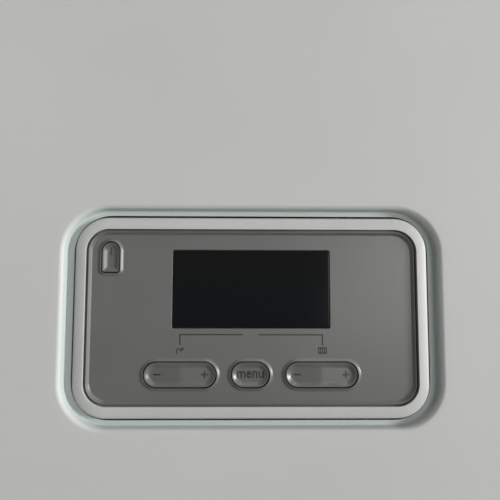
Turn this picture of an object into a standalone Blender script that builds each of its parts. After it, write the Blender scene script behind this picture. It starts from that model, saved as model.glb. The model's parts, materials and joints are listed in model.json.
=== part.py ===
"""Wall-hung electric boiler, modelled as the separate pieces that it is built from.

Metres, +Z up. The rear mounting face lies in the plane y = 0 and the front cover faces -Y. The origin is
the centre of the rear mounting face.
"""

from math import cos, pi, radians, sin, tan

import bmesh
import bpy
from mathutils import Matrix, Vector

# Clearances and overruns
SEAT_GAP = 0.0003
CUT_OVERRUN = 0.002
FUSE_DEPTH = 0.0005
FULL_ROUND_SHARE = 0.98

# Casing
CASE_WIDTH = 0.410
CASE_HEIGHT = 0.740
CASE_DEPTH = 0.310
SHEET = 0.0012
CORNER_RADIUS = 0.008
FRONT_BEND = 0.005
COVER_RETURN = 0.070
SIDE_RETURN = 0.014
SEAM = 0.004
JOGGLE = 0.0035
LIP = 0.020
BACK_SHEET = 0.0015
BACK_FLANGE = 0.025
CASE_SCREW_RADIUS = 0.002
CASE_SCREW_LENGTH = 0.012
CASE_SCREW_HEAD_RADIUS = 0.004
CASE_SCREW_HEAD_HEIGHT = 0.0025
CASE_SCREW_SPREAD = 0.240
CORNER_STEPS = 4

# Wall bracket and the channel that it lies in
RAIL_WIDTH = 0.300
RAIL_HEIGHT = 0.040
RAIL_SHEET = 0.002
RAIL_BELOW_TOP = 0.060
CHANNEL_DEPTH = 0.0045
CHANNEL_MARGIN = 0.002
HOOK_WIDTH = 0.026
HOOK_RISE = 0.012
HOOK_REACH = 0.005
HOOK_SPREAD = 0.200
RAIL_HOLE_RADIUS = 0.004
RAIL_HOLE_SPREAD = 0.110

# Control panel, seen from the front; its centre is the panel centre
PANEL_ABOVE_BOTTOM = 0.215
RECESS_WIDTH = 0.1874
RECESS_HEIGHT = 0.1098
RECESS_RADIUS = 0.0238
RECESS_EDGE = 0.0024
RECESS_FOOT = 0.0005
RECESS_SLOPE = radians(82.0)
RECESS_WALL = 0.0033
RECESS_STEPS = 3
BEZEL_WIDTH = 0.1727
BEZEL_HEIGHT = 0.0972
BEZEL_RADIUS = 0.0162
BEZEL_GAP = 0.0006
BEZEL_SUNK = 0.0017
BEZEL_FALL = 0.0006
BEZEL_ROUND = 0.0015
BEZEL_BAND = 0.0053
BEZEL_BAND_HIGH = 0.0058
BEZEL_THICK = 0.0026
BEZEL_SKIRT = 0.0018
BEZEL_DEPTH = 0.0110
GROOVE = 0.0011
RIM_SLOPE = 0.0018
RIM_RISE = 0.0015
RIM_RADIUS = 0.0095
FACE_SUNK = 0.0040
FACE_THICK = 0.0022
HOUSING_WALL = 0.0020
HOUSING_DEPTH = 0.0340
HOUSING_POST = 0.0060
HOUSING_POST_INSET = 0.0120
BRACKET_SHEET = 0.0015
BRACKET_HEIGHT = 0.0600
BRACKET_FLANGE = 0.0250

# Display
LENS_WIDTH = 0.0769
LENS_HEIGHT = 0.0380
LENS_THICK = 0.0012
LENS_RADIUS = 0.0008
LENS_X = -0.0002
LENS_Z = 0.0135
LENS_LEDGE = 0.0015
MODULE_INSET = 0.0010

# Keys
KEY_Z = -0.0279
KEY_HEIGHT = 0.0119
KEY_GAP = 0.0005
KEY_EDGE = 0.0004
KEY_RISE = 0.0004
KEY_DISH = 0.0011
KEY_DISH_INSET = 0.0022
KEY_BACK = 0.0045
COLLAR_WIDTH = 0.0016
COLLAR_RISE = 0.0007
ROCKER_WIDTH = 0.0349
HOT_WATER_X = -0.0347
HEATING_X = 0.0340
PIVOT_BEHIND = 0.0050
PIN_RADIUS = 0.0012
PIN_REACH = 0.0024
EAR_GAP = 0.0008
EAR_THICK = 0.0018
EAR_WIDTH = 0.0050
EAR_DEPTH = 0.0022
MENU_WIDTH = 0.0182
MENU_X = -0.0006
POWER_WIDTH = 0.0085
POWER_HEIGHT = 0.0146
POWER_X = -0.0692
POWER_Z = 0.0290
POWER_FOOT_RADIUS = 0.0012
PLUNGER = 0.0030
PLUNGER_SPREAD = 0.0240
PLUNGER_LENGTH = 0.0060
KEY_TRAVEL = 0.0008
SWITCH_SIZE = 0.0060
SWITCH_HEIGHT = 0.0030
SWITCH_CAP = 0.0034
SWITCH_CAP_HEIGHT = 0.0008
BOARD_THICK = 0.0016
BOARD_MARGIN = 0.0030

# Expansion vessel, flat, behind the other pieces
TANK_RIM = 0.008
TANK_DEPTH = 0.078
TANK_SHOULDER = 0.020
TANK_WALL = 0.0015
TANK_CROWN = 0.020
TANK_TO_ARM = 0.0536
TANK_TO_FLANGE = 0.0083
TANK_BELOW_CHANNEL = 0.006
TANK_PORT_RADIUS = 0.009
TANK_PORT_BORE = 0.0053
TANK_PORT_LENGTH = 0.012
DIAPHRAGM_THICK = 0.002
DIAPHRAGM_SAG = 0.014
GAS_VALVE_RADIUS = 0.004
GAS_VALVE_LENGTH = 0.016

# Exchanger
JACKET_RADIUS = 0.078
JACKET_TO_TANK = 0.006
VESSEL_RADIUS = 0.055
VESSEL_WALL = 0.002
VESSEL_BELOW_TOP = 0.130
VESSEL_ABOVE_BOTTOM = 0.290
VESSEL_DOME = 0.026
JACKET_TOP_BELOW = 0.060
FLANGE_RADIUS = 0.072
FLANGE_RING = 0.008
HEATER_FLANGE_THICK = 0.010
SIDE_PORT_BELOW = 0.033
SIDE_PORT_LENGTH = 0.022
ELEMENTS = 3
ELEMENT_RADIUS = 0.004
ELEMENT_RING = 0.024
ELEMENT_HALF_GAP = 0.012
ELEMENT_ABOVE_BOTTOM = 0.036
TERMINAL_RISE = 0.014
COVER_CAP_RADIUS = 0.040
COVER_CAP_HEIGHT = 0.048
COVER_CAP_WALL = 0.002
FITTING_RING = 0.054
BAND_THICK = 0.002
BAND_HEIGHT = 0.025
BAND_FROM_END = 0.025
ARM_THICK = 0.009
FOOT_WIDTH = 0.030
FOOT_THICK = 0.002
SENSOR_RADIUS = 0.006
SENSOR_HEIGHT = 0.030
THERMOSTAT_RADIUS = 0.008
THERMOSTAT_HEIGHT = 0.018
VENT_RADIUS = 0.011
VENT_HEIGHT = 0.046
VENT_CAP_RADIUS = 0.006
VENT_CAP_HEIGHT = 0.010
STEM_HOLE_DEPTH = 0.006

# Pipes and connections
PIPE_RADIUS = 0.009
PIPE_WALL = 0.001
PIPE_BEND = 0.022
PIPE_INSERT = 0.012
HOLE_EDGE = 0.0030
SOCKET_WALL = 0.0022
UNION_RADIUS = 0.0132
UNION_NUT = 0.0185
UNION_NUT_HEIGHT = 0.010
UNION_BELOW = 0.060
UNION_TOP_ABOVE = 0.080
HOLE_CLEARANCE = 0.0004
BRANCH_RADIUS = 0.008
BRANCH_BORE = 0.005
BRANCH_ABOVE = 0.047
MANIFOLD_BELOW_BRANCH = 0.018
SMALL_PIPE_RADIUS = 0.005
SMALL_PIPE_BEND = 0.012
SMALL_PIPE_BEHIND = 0.112
EXPANSION_PORT_LENGTH = 0.010

# Pump
RETURN_FROM_SIDE = 0.065
PUMP_ABOVE_BOTTOM = 0.145
VOLUTE_RADIUS = 0.048
VOLUTE_DEPTH = 0.044
VOLUTE_WALL = 0.005
PORT_REACH = 0.065
PORT_RADIUS = 0.015
MOTOR_RADIUS = 0.044
MOTOR_DEPTH = 0.052
MOTOR_WALL = 0.008
IMPELLER_RADIUS = 0.032
IMPELLER_DEPTH = 0.010
ROTOR_RADIUS = 0.018
ROTOR_GAP = 0.0008
SHAFT_RADIUS = 0.004

# Safety valve, filling cock and pressure sensor
SAFETY_FROM_RETURN = 0.070
SAFETY_RADIUS = 0.014
SAFETY_HEIGHT = 0.044
SAFETY_OUTLET_RADIUS = 0.0095
SAFETY_OUTLET_BORE = 0.0065
SAFETY_BELOW = 0.040
KNOB_RADIUS = 0.016
KNOB_HEIGHT = 0.020
KNOB_LOBES = 8
STEM_RADIUS = 0.003
COCK_FROM_FLOW = 0.0498
COCK_RADIUS = 0.009
COCK_BORE = 0.005
COCK_BELOW = 0.046
COCK_BOSS_RADIUS = 0.007
COCK_BOSS_REACH = 0.014
LEVER_BELOW = 0.022
LEVER_LENGTH = 0.030
LEVER_WIDTH = 0.008
LEVER_THICK = 0.004
SENSOR_BODY_RADIUS = 0.011
SENSOR_BODY_LENGTH = 0.034

# Electrics
PLATE_SHEET = 0.0015
PLATE_Y = -0.130
PLATE_TO_JACKET = 0.012
PLATE_TO_SIDE = 0.009
PLATE_BELOW_TOP = 0.040
PLATE_ABOVE_BOTTOM = 0.310
ROW_GAP = 0.0325
RAIL_DEPTH = 0.0075
RAIL_STRIP = 0.035
CONTACTORS = 3
CONTACTOR_MARGIN = 0.0188
CONTACTOR_GAP = 0.0015
CONTACTOR_HEIGHT = 0.075
CONTACTOR_DEPTH = 0.062
CONTACTOR_BELOW_PLATE_TOP = 0.075
POWER_BOARD_MARGIN = 0.017
BOARD_POST = 0.008
BOARD_POST_RADIUS = 0.003
TERMINAL_MARGIN = 0.037
TERMINAL_HEIGHT = 0.040
TERMINAL_DEPTH = 0.036
TERMINAL_ABOVE_PLATE_END = 0.040
POLES = 5
GLAND_FROM_PLATE = 0.0107
GLAND_Y = -0.090
GLAND_RADIUS = 0.0125
GLAND_BORE = 0.0070
GLAND_NUT = 0.0165
GLAND_BELOW = 0.030
GLAND_ABOVE = 0.009
HARNESS_RADIUS = 0.006
HARNESS_BEND = 0.018
PANEL_CABLE_RADIUS = 0.003
PANEL_CABLE_BEND = 0.012

# Places worked out from the sizes above
HALF_WIDTH = CASE_WIDTH / 2
HALF_HEIGHT = CASE_HEIGHT / 2
FRONT = -CASE_DEPTH
PANEL_CENTRE_Z = -HALF_HEIGHT + PANEL_ABOVE_BOTTOM
LIP_INSET = SHEET + SEAT_GAP
JOGGLE_START = FRONT + COVER_RETURN + SEAM
JOGGLE_END = JOGGLE_START - JOGGLE
LIP_END = JOGGLE_END - LIP
CREST = FRONT + BEZEL_SUNK
FACE = FRONT + FACE_SUNK
FACE_REAR = FACE + FACE_THICK
HOUSING_FRONT = FACE_REAR + SEAT_GAP
HOUSING_REAR = HOUSING_FRONT + HOUSING_DEPTH
BRACKET_FRONT = HOUSING_REAR + SEAT_GAP
PIVOT = FACE + PIVOT_BEHIND
KEY_REAR = FACE + KEY_BACK
PLUNGER_END = KEY_REAR + PLUNGER_LENGTH
SWITCH_FRONT = PLUNGER_END + KEY_TRAVEL + SEAT_GAP
BOARD_FRONT = SWITCH_FRONT + SWITCH_CAP_HEIGHT + SWITCH_HEIGHT
BOARD_REAR = BOARD_FRONT + BOARD_THICK
RAIL_Z = HALF_HEIGHT - RAIL_BELOW_TOP
CHANNEL_HALF = RAIL_HEIGHT / 2 + CHANNEL_MARGIN
FLOW_X = -HALF_WIDTH + SIDE_RETURN + HOLE_EDGE + UNION_RADIUS
RETURN_X = HALF_WIDTH - RETURN_FROM_SIDE
SAFETY_X = RETURN_X - SAFETY_FROM_RETURN
COCK_X = FLOW_X + COCK_FROM_FLOW
JACKET_X = FLOW_X + PIPE_RADIUS + JACKET_RADIUS + UNION_NUT
PLATE_LEFT = JACKET_X + JACKET_RADIUS + PLATE_TO_JACKET
PLATE_RIGHT = HALF_WIDTH - SHEET - PLATE_TO_SIDE
PLATE_MIDDLE = (PLATE_LEFT + PLATE_RIGHT) / 2
PLATE_FRONT = PLATE_Y - PLATE_SHEET
PLATE_TOP = HALF_HEIGHT - PLATE_BELOW_TOP
PLATE_BOTTOM = -HALF_HEIGHT + PLATE_ABOVE_BOTTOM
GLAND_X = PLATE_LEFT - GLAND_FROM_PLATE
CONTACTOR_PITCH = (PLATE_RIGHT - PLATE_LEFT - 2 * CONTACTOR_MARGIN) / CONTACTORS
CONTACTOR_WIDTH = CONTACTOR_PITCH - CONTACTOR_GAP
CONTACTOR_Z = PLATE_TOP - CONTACTOR_BELOW_PLATE_TOP
TERMINAL_WIDTH = PLATE_RIGHT - PLATE_LEFT - 2 * TERMINAL_MARGIN
TERMINAL_Z = PLATE_BOTTOM + TERMINAL_ABOVE_PLATE_END
POWER_BOARD_WIDTH = PLATE_RIGHT - PLATE_LEFT - 2 * POWER_BOARD_MARGIN
POWER_BOARD_TOP = CONTACTOR_Z - CONTACTOR_HEIGHT / 2 - ROW_GAP
POWER_BOARD_BOTTOM = TERMINAL_Z + TERMINAL_HEIGHT / 2 + ROW_GAP
POWER_BOARD_HEIGHT = POWER_BOARD_TOP - POWER_BOARD_BOTTOM
POWER_BOARD_Z = (POWER_BOARD_TOP + POWER_BOARD_BOTTOM) / 2
ARM_RIGHT = JACKET_X - JACKET_RADIUS - SEAT_GAP - BAND_THICK / 2
TANK_LEFT_EDGE = ARM_RIGHT + TANK_TO_ARM
TANK_RIGHT_EDGE = PLATE_RIGHT - PLATE_SHEET - TANK_TO_FLANGE
TANK_RADIUS = (TANK_RIGHT_EDGE - TANK_LEFT_EDGE) / 2 - TANK_RIM
TANK_X = (TANK_LEFT_EDGE + TANK_RIGHT_EDGE) / 2
TANK_BACK = -BACK_SHEET - SEAT_GAP
TANK_FRONT = TANK_BACK - TANK_DEPTH
TANK_MIDDLE = TANK_BACK - TANK_DEPTH / 2
TANK_Z = RAIL_Z - CHANNEL_HALF - TANK_BELOW_CHANNEL - TANK_RADIUS - TANK_RIM
JACKET_Y = TANK_FRONT - JACKET_TO_TANK - JACKET_RADIUS
PIPE_Y = JACKET_Y
VESSEL_TOP = HALF_HEIGHT - VESSEL_BELOW_TOP
VESSEL_BOTTOM = -HALF_HEIGHT + VESSEL_ABOVE_BOTTOM
JACKET_TOP = VESSEL_TOP - JACKET_TOP_BELOW
SIDE_PORT_Z = VESSEL_TOP - SIDE_PORT_BELOW
HEATER_FLANGE_LOW = VESSEL_TOP + SEAT_GAP
HEATER_FLANGE_TOP = HEATER_FLANGE_LOW + HEATER_FLANGE_THICK
SOCKET_BORE = PIPE_RADIUS + SEAT_GAP
SOCKET_RADIUS = SOCKET_BORE + SOCKET_WALL
INLET_END = VESSEL_BOTTOM - PIPE_BEND - FUSE_DEPTH
UNION_END = -HALF_HEIGHT - UNION_BELOW
PUMP_Z = -HALF_HEIGHT + PUMP_ABOVE_BOTTOM
BRANCH_Z = -HALF_HEIGHT + BRANCH_ABOVE
CROSS_PIPE_Z = INLET_END - PIPE_BEND
RECESS_ROLL_WIDE = (RECESS_WIDTH - BEZEL_WIDTH) / 2 - BEZEL_GAP
RECESS_ROLL_HIGH = (RECESS_HEIGHT - BEZEL_HEIGHT) / 2 - BEZEL_GAP
RECESS_ROLL = (RECESS_ROLL_WIDE + RECESS_ROLL_HIGH) / 2
SCREW_Y = (JOGGLE_END + LIP_END) / 2
BEZEL_INNER_WIDTH = BEZEL_WIDTH - 2 * BEZEL_BAND
BEZEL_INNER_HEIGHT = BEZEL_HEIGHT - 2 * BEZEL_BAND_HIGH
KEY_CENTRE_Z = PANEL_CENTRE_Z + KEY_Z
EAR_NEAR = KEY_HEIGHT / 2 + EAR_GAP
SOCKET_REAR = BOARD_REAR + SWITCH_SIZE
PANEL_CABLE_X = (PLATE_LEFT + PLATE_MIDDLE) / 2
PANEL_CABLE_Z = PANEL_CENTRE_Z + BRACKET_HEIGHT / 2 + 2 * PANEL_CABLE_RADIUS
FLOW_TOP = -HALF_HEIGHT + UNION_TOP_ABOVE
RETURN_TOP = PUMP_Z - PORT_REACH - SEAT_GAP
MANIFOLD_END = BRANCH_Z - MANIFOLD_BELOW_BRANCH
EXPANSION_PORT_Y = PIPE_Y + UNION_RADIUS + EXPANSION_PORT_LENGTH
SENSOR_SEAT_Y = PIPE_Y - UNION_RADIUS - SEAT_GAP
LEVER_Z = -HALF_HEIGHT - LEVER_BELOW
CABLE_SEAT_Y = PLATE_FRONT - BOARD_POST - BOARD_THICK - 2 * PANEL_CABLE_RADIUS

# Paint, plastic and metal, each as colour, roughness and metallic value
FINISHES = {
    "painted steel": ("C6C7C3", 0.45, 0.0),
    "zinc steel": ("9FA3A6", 0.40, 0.9),
    "white plastic": ("C9CAC7", 0.35, 0.0),
    "grey plastic": ("747471", 0.38, 0.0),
    "dark glass": ("0B0C0E", 0.12, 0.0),
    "black plastic": ("1E1F20", 0.45, 0.0),
    "circuit board": ("1F5A35", 0.50, 0.0),
    "stainless steel": ("B9BABB", 0.30, 1.0),
    "foam": ("4A4B4D", 0.85, 0.0),
    "copper": ("B87048", 0.28, 1.0),
    "brass": ("C2A25A", 0.30, 1.0),
    "red enamel": ("A32A22", 0.45, 0.0),
    "rubber": ("202022", 0.75, 0.0),
    "cast iron": ("39403F", 0.60, 0.4),
    "red plastic": ("B3261E", 0.42, 0.0),
    "light plastic": ("D7D6CF", 0.48, 0.0),
}


def linear(channel):
    return channel / 12.92 if channel <= 0.04045 else ((channel + 0.055) / 1.055) ** 2.4


def finish(piece, kind):
    """Gives the piece its own Principled material."""
    code, roughness, metallic = FINISHES[kind]
    colour = [linear(int(code[place : place + 2], 16) / 255) for place in (0, 2, 4)]
    material = bpy.data.materials.new(piece.name + "_finish")
    material.use_nodes = True
    shader = material.node_tree.nodes["Principled BSDF"]
    shader.inputs["Base Color"].default_value = (*colour, 1)
    shader.inputs["Roughness"].default_value = roughness
    shader.inputs["Metallic"].default_value = metallic
    material.diffuse_color = (*colour, 1)
    piece.data.materials.clear()
    piece.data.materials.append(material)
    piece.data.shade_smooth()
    piece.data.set_sharp_from_angle(angle=radians(35))
    return piece


def link(name, form):
    """Turns the bmesh into a linked object with its faces pointing out."""
    bmesh.ops.recalc_face_normals(form, faces=form.faces)
    mesh = bpy.data.meshes.new(name)
    form.to_mesh(mesh)
    form.free()
    piece = bpy.data.objects.new(name, mesh)
    bpy.context.scene.collection.objects.link(piece)
    return piece


def loft(name, loops, ring=False):
    """Joins equal loops of points. A ring joins its last loop to its first; any other form is capped."""
    form = bmesh.new()
    rows = [[form.verts.new(point) for point in loop] for loop in loops]
    pairs = list(zip(rows, rows[1:]))
    if ring:
        pairs.append((rows[-1], rows[0]))
    for low, high in pairs:
        for place in range(len(low)):
            after = (place + 1) % len(low)
            form.faces.new((low[place], low[after], high[after], high[place]))
    if not ring:
        form.faces.new(rows[0])
        form.faces.new(rows[-1][::-1])
    return link(name, form)


def block(name, x_range, y_range, z_range):
    low, high = z_range
    corners = [(x_range[0], y_range[0]), (x_range[1], y_range[0])]
    corners += [(x_range[1], y_range[1]), (x_range[0], y_range[1])]
    return loft(name, [[(x, y, z) for x, y in corners] for z in (low, high)])


def prism(name, outline, low, high, axis):
    """Extrudes a closed outline from low to high along x, y or z."""
    turn = {
        "x": lambda a, b, h: (h, a, b),
        "y": lambda a, b, h: (a, h, b),
        "z": lambda a, b, h: (a, b, h),
    }[axis]
    return loft(name, [[turn(a, b, h) for a, b in outline] for h in (low, high)])


def turned(name, profile, origin, axis="z", sides=20):
    """Turns (radius, place) points about an axis through the origin. A profile that starts and ends at
    radius zero is solid to its axis, and any other one is joined up round a bore."""
    turn = {
        "x": lambda a, b, h: Vector((h, a, b)),
        "y": lambda a, b, h: Vector((a, h, b)),
        "z": lambda a, b, h: Vector((a, b, h)),
    }[axis]
    form = bmesh.new()
    rows = []
    for radius, place in profile:
        count = sides if radius > 0 else 1
        angles = [2 * pi * side / sides for side in range(count)]
        spots = [turn(radius * cos(angle), radius * sin(angle), place) for angle in angles]
        rows.append([form.verts.new(Vector(origin) + spot) for spot in spots])
    pairs = list(zip(rows, rows[1:]))
    if profile[0][0] > 0:
        pairs.append((rows[-1], rows[0]))
    for low, high in pairs:
        for side in range(sides):
            after = (side + 1) % sides
            if len(low) == 1:
                form.faces.new((low[0], high[side], high[after]))
            elif len(high) == 1:
                form.faces.new((low[side], low[after], high[0]))
            else:
                form.faces.new((low[side], low[after], high[after], high[side]))
    return link(name, form)


def rod(name, radius, low, high, origin, axis="z", sides=16):
    return turned(name, [(0, low), (radius, low), (radius, high), (0, high)], origin, axis, sides)


def hexagon(name, circumradius, low, high, centre):
    points = [
        (centre[0] + circumradius * cos(side * pi / 3), centre[1] + circumradius * sin(side * pi / 3))
        for side in range(6)
    ]
    return prism(name, points, low, high, "z")


def bent(corners, radius, steps=4):
    """A route through the corners, with an arc at each one between the ends."""
    corners = [Vector(corner) for corner in corners]
    route = [corners[0]]
    for before, corner, after in zip(corners, corners[1:], corners[2:]):
        back = (before - corner).normalized()
        ahead = (after - corner).normalized()
        half = back.angle(ahead) / 2
        centre = corner + (back + ahead).normalized() * radius / sin(half)
        start = corner + back * radius / tan(half) - centre
        end = corner + ahead * radius / tan(half) - centre
        axis = start.cross(end)
        sweep = start.angle(end)
        for step in range(steps + 1):
            route.append(centre + Matrix.Rotation(sweep * step / steps, 3, axis) @ start)
    return route + [corners[-1]]


def tube(name, route, radius, bore=0.0, sides=12):
    """Sweeps a round section along the route, hollow where a bore is given."""
    tangents = []
    for place, point in enumerate(route):
        before = route[max(place - 1, 0)]
        after = route[min(place + 1, len(route) - 1)]
        tangents.append((after - before).normalized())
    side_way = tangents[0].orthogonal().normalized()
    outer, inner = [], []
    for point, tangent in zip(route, tangents):
        side_way = (side_way - tangent * side_way.dot(tangent)).normalized()
        other_way = tangent.cross(side_way)
        for rings, size in ((outer, radius), (inner, bore)):
            angles = [2 * pi * side / sides for side in range(sides)]
            rings.append([point + size * (side_way * cos(a) + other_way * sin(a)) for a in angles])
    if bore > 0:
        return loft(name, outer + inner[::-1], ring=True)
    return loft(name, outer)


def combine(body, tool, operation):
    """Cuts or joins the tool into the body, and removes the tool."""
    modifier = body.modifiers.new("combine", "BOOLEAN")
    modifier.operation = operation
    modifier.solver = "EXACT"
    modifier.object = tool
    bpy.context.view_layer.update()
    evaluated = body.evaluated_get(bpy.context.evaluated_depsgraph_get())
    mesh = bpy.data.meshes.new_from_object(evaluated)
    body.modifiers.clear()
    body.data = mesh
    bpy.data.objects.remove(tool)
    return body


def cut(body, *tools):
    for tool in tools:
        combine(body, tool, "DIFFERENCE")
    return body


def fuse(body, *tools):
    for tool in tools:
        combine(body, tool, "UNION")
    return body


def pivot(piece, point):
    """Moves the piece's origin to a point on its joint axis."""
    piece.data.transform(Matrix.Translation(-Vector(point)))
    piece.location = point
    return piece


def rounded(width, height, radius, x=0.0, z=0.0, foot=None):
    """A rounded rectangle's points. The foot is the lower corners' radius where it differs."""
    points = []
    for corner, (way_x, way_z) in enumerate(((1, 1), (-1, 1), (-1, -1), (1, -1))):
        turn = foot if foot is not None and way_z < 0 else radius
        turn = min(turn, FULL_ROUND_SHARE * min(width, height) / 2)
        centre_x = x + way_x * (width / 2 - turn)
        centre_z = z + way_z * (height / 2 - turn)
        for step in range(CORNER_STEPS + 1):
            angle = (corner + step / CORNER_STEPS) * pi / 2
            points.append((centre_x + turn * cos(angle), centre_z + turn * sin(angle)))
    return points


def at(outline, y):
    return [(x, y, z) for x, z in outline]


def arc_steps(steps):
    return [step / steps * pi / 2 for step in range(steps + 1)]


# The casing


def case_outline(inset):
    return rounded(CASE_WIDTH - 2 * inset, CASE_HEIGHT - 2 * inset, CORNER_RADIUS - inset)


def recess_outline(inset):
    wide = RECESS_WIDTH - 2 * inset * RECESS_ROLL_WIDE / RECESS_ROLL
    high = RECESS_HEIGHT - 2 * inset * RECESS_ROLL_HIGH / RECESS_ROLL
    return rounded(wide, high, RECESS_RADIUS - inset, 0.0, PANEL_CENTRE_Z)


def recess_line(behind):
    """Insets and depths over the recess's edge, down its wall and round its foot, this far behind."""
    reach = RECESS_EDGE + RECESS_FOOT
    across = reach * sin(RECESS_SLOPE) + RECESS_WALL * cos(RECESS_SLOPE)
    down = RECESS_EDGE - reach * cos(RECESS_SLOPE) + RECESS_WALL * sin(RECESS_SLOPE)
    turns = [RECESS_SLOPE * step / RECESS_STEPS for step in range(RECESS_STEPS + 1)]
    edge, foot = RECESS_EDGE - behind, RECESS_FOOT + behind
    line = [(edge * sin(turn), RECESS_EDGE - edge * cos(turn)) for turn in turns]
    line += [(across - foot * sin(turn), down + foot * cos(turn)) for turn in turns[::-1]]
    return line + [(RECESS_ROLL, down + foot)]


def make_front_cover():
    """A pan of sheet steel with a drawn recess round the cut-out for the control panel."""
    rear = FRONT + COVER_RETURN
    loops = [at(case_outline(0), rear)]
    for angle in arc_steps(3):
        inset = FRONT_BEND * (1 - cos(angle))
        loops.append(at(case_outline(inset), FRONT + FRONT_BEND * (1 - sin(angle))))
    for inset, depth in recess_line(0.0) + recess_line(SHEET)[::-1]:
        loops.append(at(recess_outline(inset), FRONT + depth))
    for angle in reversed(arc_steps(3)):
        inset = SHEET + (FRONT_BEND - SHEET) * (1 - cos(angle))
        loops.append(at(case_outline(inset), FRONT + SHEET + (FRONT_BEND - SHEET) * (1 - sin(angle))))
    loops.append(at(case_outline(SHEET), rear))
    cover = loft("front_cover", loops, ring=True)
    for x in (-CASE_SCREW_SPREAD / 2, CASE_SCREW_SPREAD / 2):
        reach = (-SHEET - CUT_OVERRUN, SHEET + CUT_OVERRUN)
        centre = (x, SCREW_Y, -HALF_HEIGHT)
        cut(cover, rod("hole", CASE_SCREW_RADIUS + SEAT_GAP, *reach, centre))
    return finish(cover, "painted steel")


def chassis_sheet(name, outline):
    """A sheet whose front edge is joggled inwards, so that the cover slides over it."""
    stations = [(0, 0.0), (JOGGLE_START, 0.0), (JOGGLE_END, LIP_INSET), (LIP_END, LIP_INSET)]
    return loft(name, [at(outline(inset), y) for y, inset in stations])


def side_line(side, inset):
    """The side sheet's line seen from the front: a short return, a bend, the side, a bend, a return."""
    flat = HALF_WIDTH - SIDE_RETURN
    turn = CORNER_RADIUS - inset
    points = [(flat, HALF_HEIGHT - inset)]
    for way in (1, -1):
        angles = arc_steps(CORNER_STEPS)
        for angle in reversed(angles) if way > 0 else angles:
            x = HALF_WIDTH - CORNER_RADIUS + turn * cos(angle)
            z = way * (HALF_HEIGHT - CORNER_RADIUS + turn * sin(angle))
            points.append((x, z))
    points.append((flat, -HALF_HEIGHT + inset))
    return [(side * x, z) for x, z in points]


def make_side_panel(name, side):
    panel = chassis_sheet(
        name, lambda inset: side_line(side, inset) + side_line(side, inset + SHEET)[::-1]
    )
    return finish(panel, "painted steel")


def flat_sheet(name, way):
    """The top (way 1) or bottom (way -1) sheet, between the side sheets' returns."""
    edge = HALF_WIDTH - SIDE_RETURN - SEAT_GAP

    def outline(inset):
        low, high = sorted((way * (HALF_HEIGHT - inset), way * (HALF_HEIGHT - inset - SHEET)))
        return [(-edge, low), (edge, low), (edge, high), (-edge, high)]

    return chassis_sheet(name, outline)


def make_bottom_plate():
    plate = flat_sheet("bottom_plate", -1)
    reach = (-CUT_OVERRUN, SHEET + CUT_OVERRUN)
    holes = [(FLOW_X, PIPE_Y, UNION_RADIUS), (RETURN_X, PIPE_Y, UNION_RADIUS)]
    holes += [(SAFETY_X, PIPE_Y, SAFETY_OUTLET_RADIUS), (COCK_X, PIPE_Y, COCK_RADIUS)]
    holes.append((GLAND_X, GLAND_Y, GLAND_RADIUS))
    for x, y, radius in holes:
        cut(plate, rod("hole", radius + HOLE_CLEARANCE, *reach, (x, y, -HALF_HEIGHT), sides=16))
    half_slot = CASE_SCREW_RADIUS + SEAT_GAP
    for x in (-CASE_SCREW_SPREAD / 2, CASE_SCREW_SPREAD / 2):
        z_range = (-HALF_HEIGHT - CUT_OVERRUN, -HALF_HEIGHT + LIP_INSET + SHEET + CUT_OVERRUN)
        y_range = (LIP_END - CUT_OVERRUN, SCREW_Y + half_slot)
        cut(plate, block("slot", (x - half_slot, x + half_slot), y_range, z_range))
    return finish(plate, "painted steel")


def make_back_plate():
    """A shallow pan with a channel near its top for the wall bracket, and a slot for each hook."""
    inset = SHEET + SEAT_GAP
    loops = [at(case_outline(inset), 0), at(case_outline(inset), -BACK_FLANGE)]
    loops += [at(case_outline(inset + BACK_SHEET), -BACK_FLANGE)]
    loops += [at(case_outline(inset + BACK_SHEET), -BACK_SHEET)]
    plate = loft("back_plate", loops)
    wide = RAIL_WIDTH / 2 + CHANNEL_MARGIN
    x_range, z_range = (-wide, wide), (RAIL_Z - CHANNEL_HALF, RAIL_Z + CHANNEL_HALF)
    thick = BACK_SHEET
    outside = block(
        "channel",
        (x_range[0] - thick, x_range[1] + thick),
        (-CHANNEL_DEPTH - thick, -BACK_SHEET / 2),
        (z_range[0] - thick, z_range[1] + thick),
    )
    fuse(plate, outside)
    cut(plate, block("inside", x_range, (-CHANNEL_DEPTH, CUT_OVERRUN), z_range))
    for x in (-HOOK_SPREAD / 2, HOOK_SPREAD / 2):
        half = HOOK_WIDTH / 2 + HOLE_CLEARANCE
        slot_y = (-CHANNEL_DEPTH - thick - CUT_OVERRUN, -CHANNEL_DEPTH + CUT_OVERRUN)
        slot_z = (RAIL_Z - RAIL_SHEET / 2 - HOOK_RISE, RAIL_Z + RAIL_SHEET / 2 + SEAT_GAP)
        cut(plate, block("slot", (x - half, x + half), slot_y, slot_z))
    return finish(plate, "zinc steel")


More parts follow.
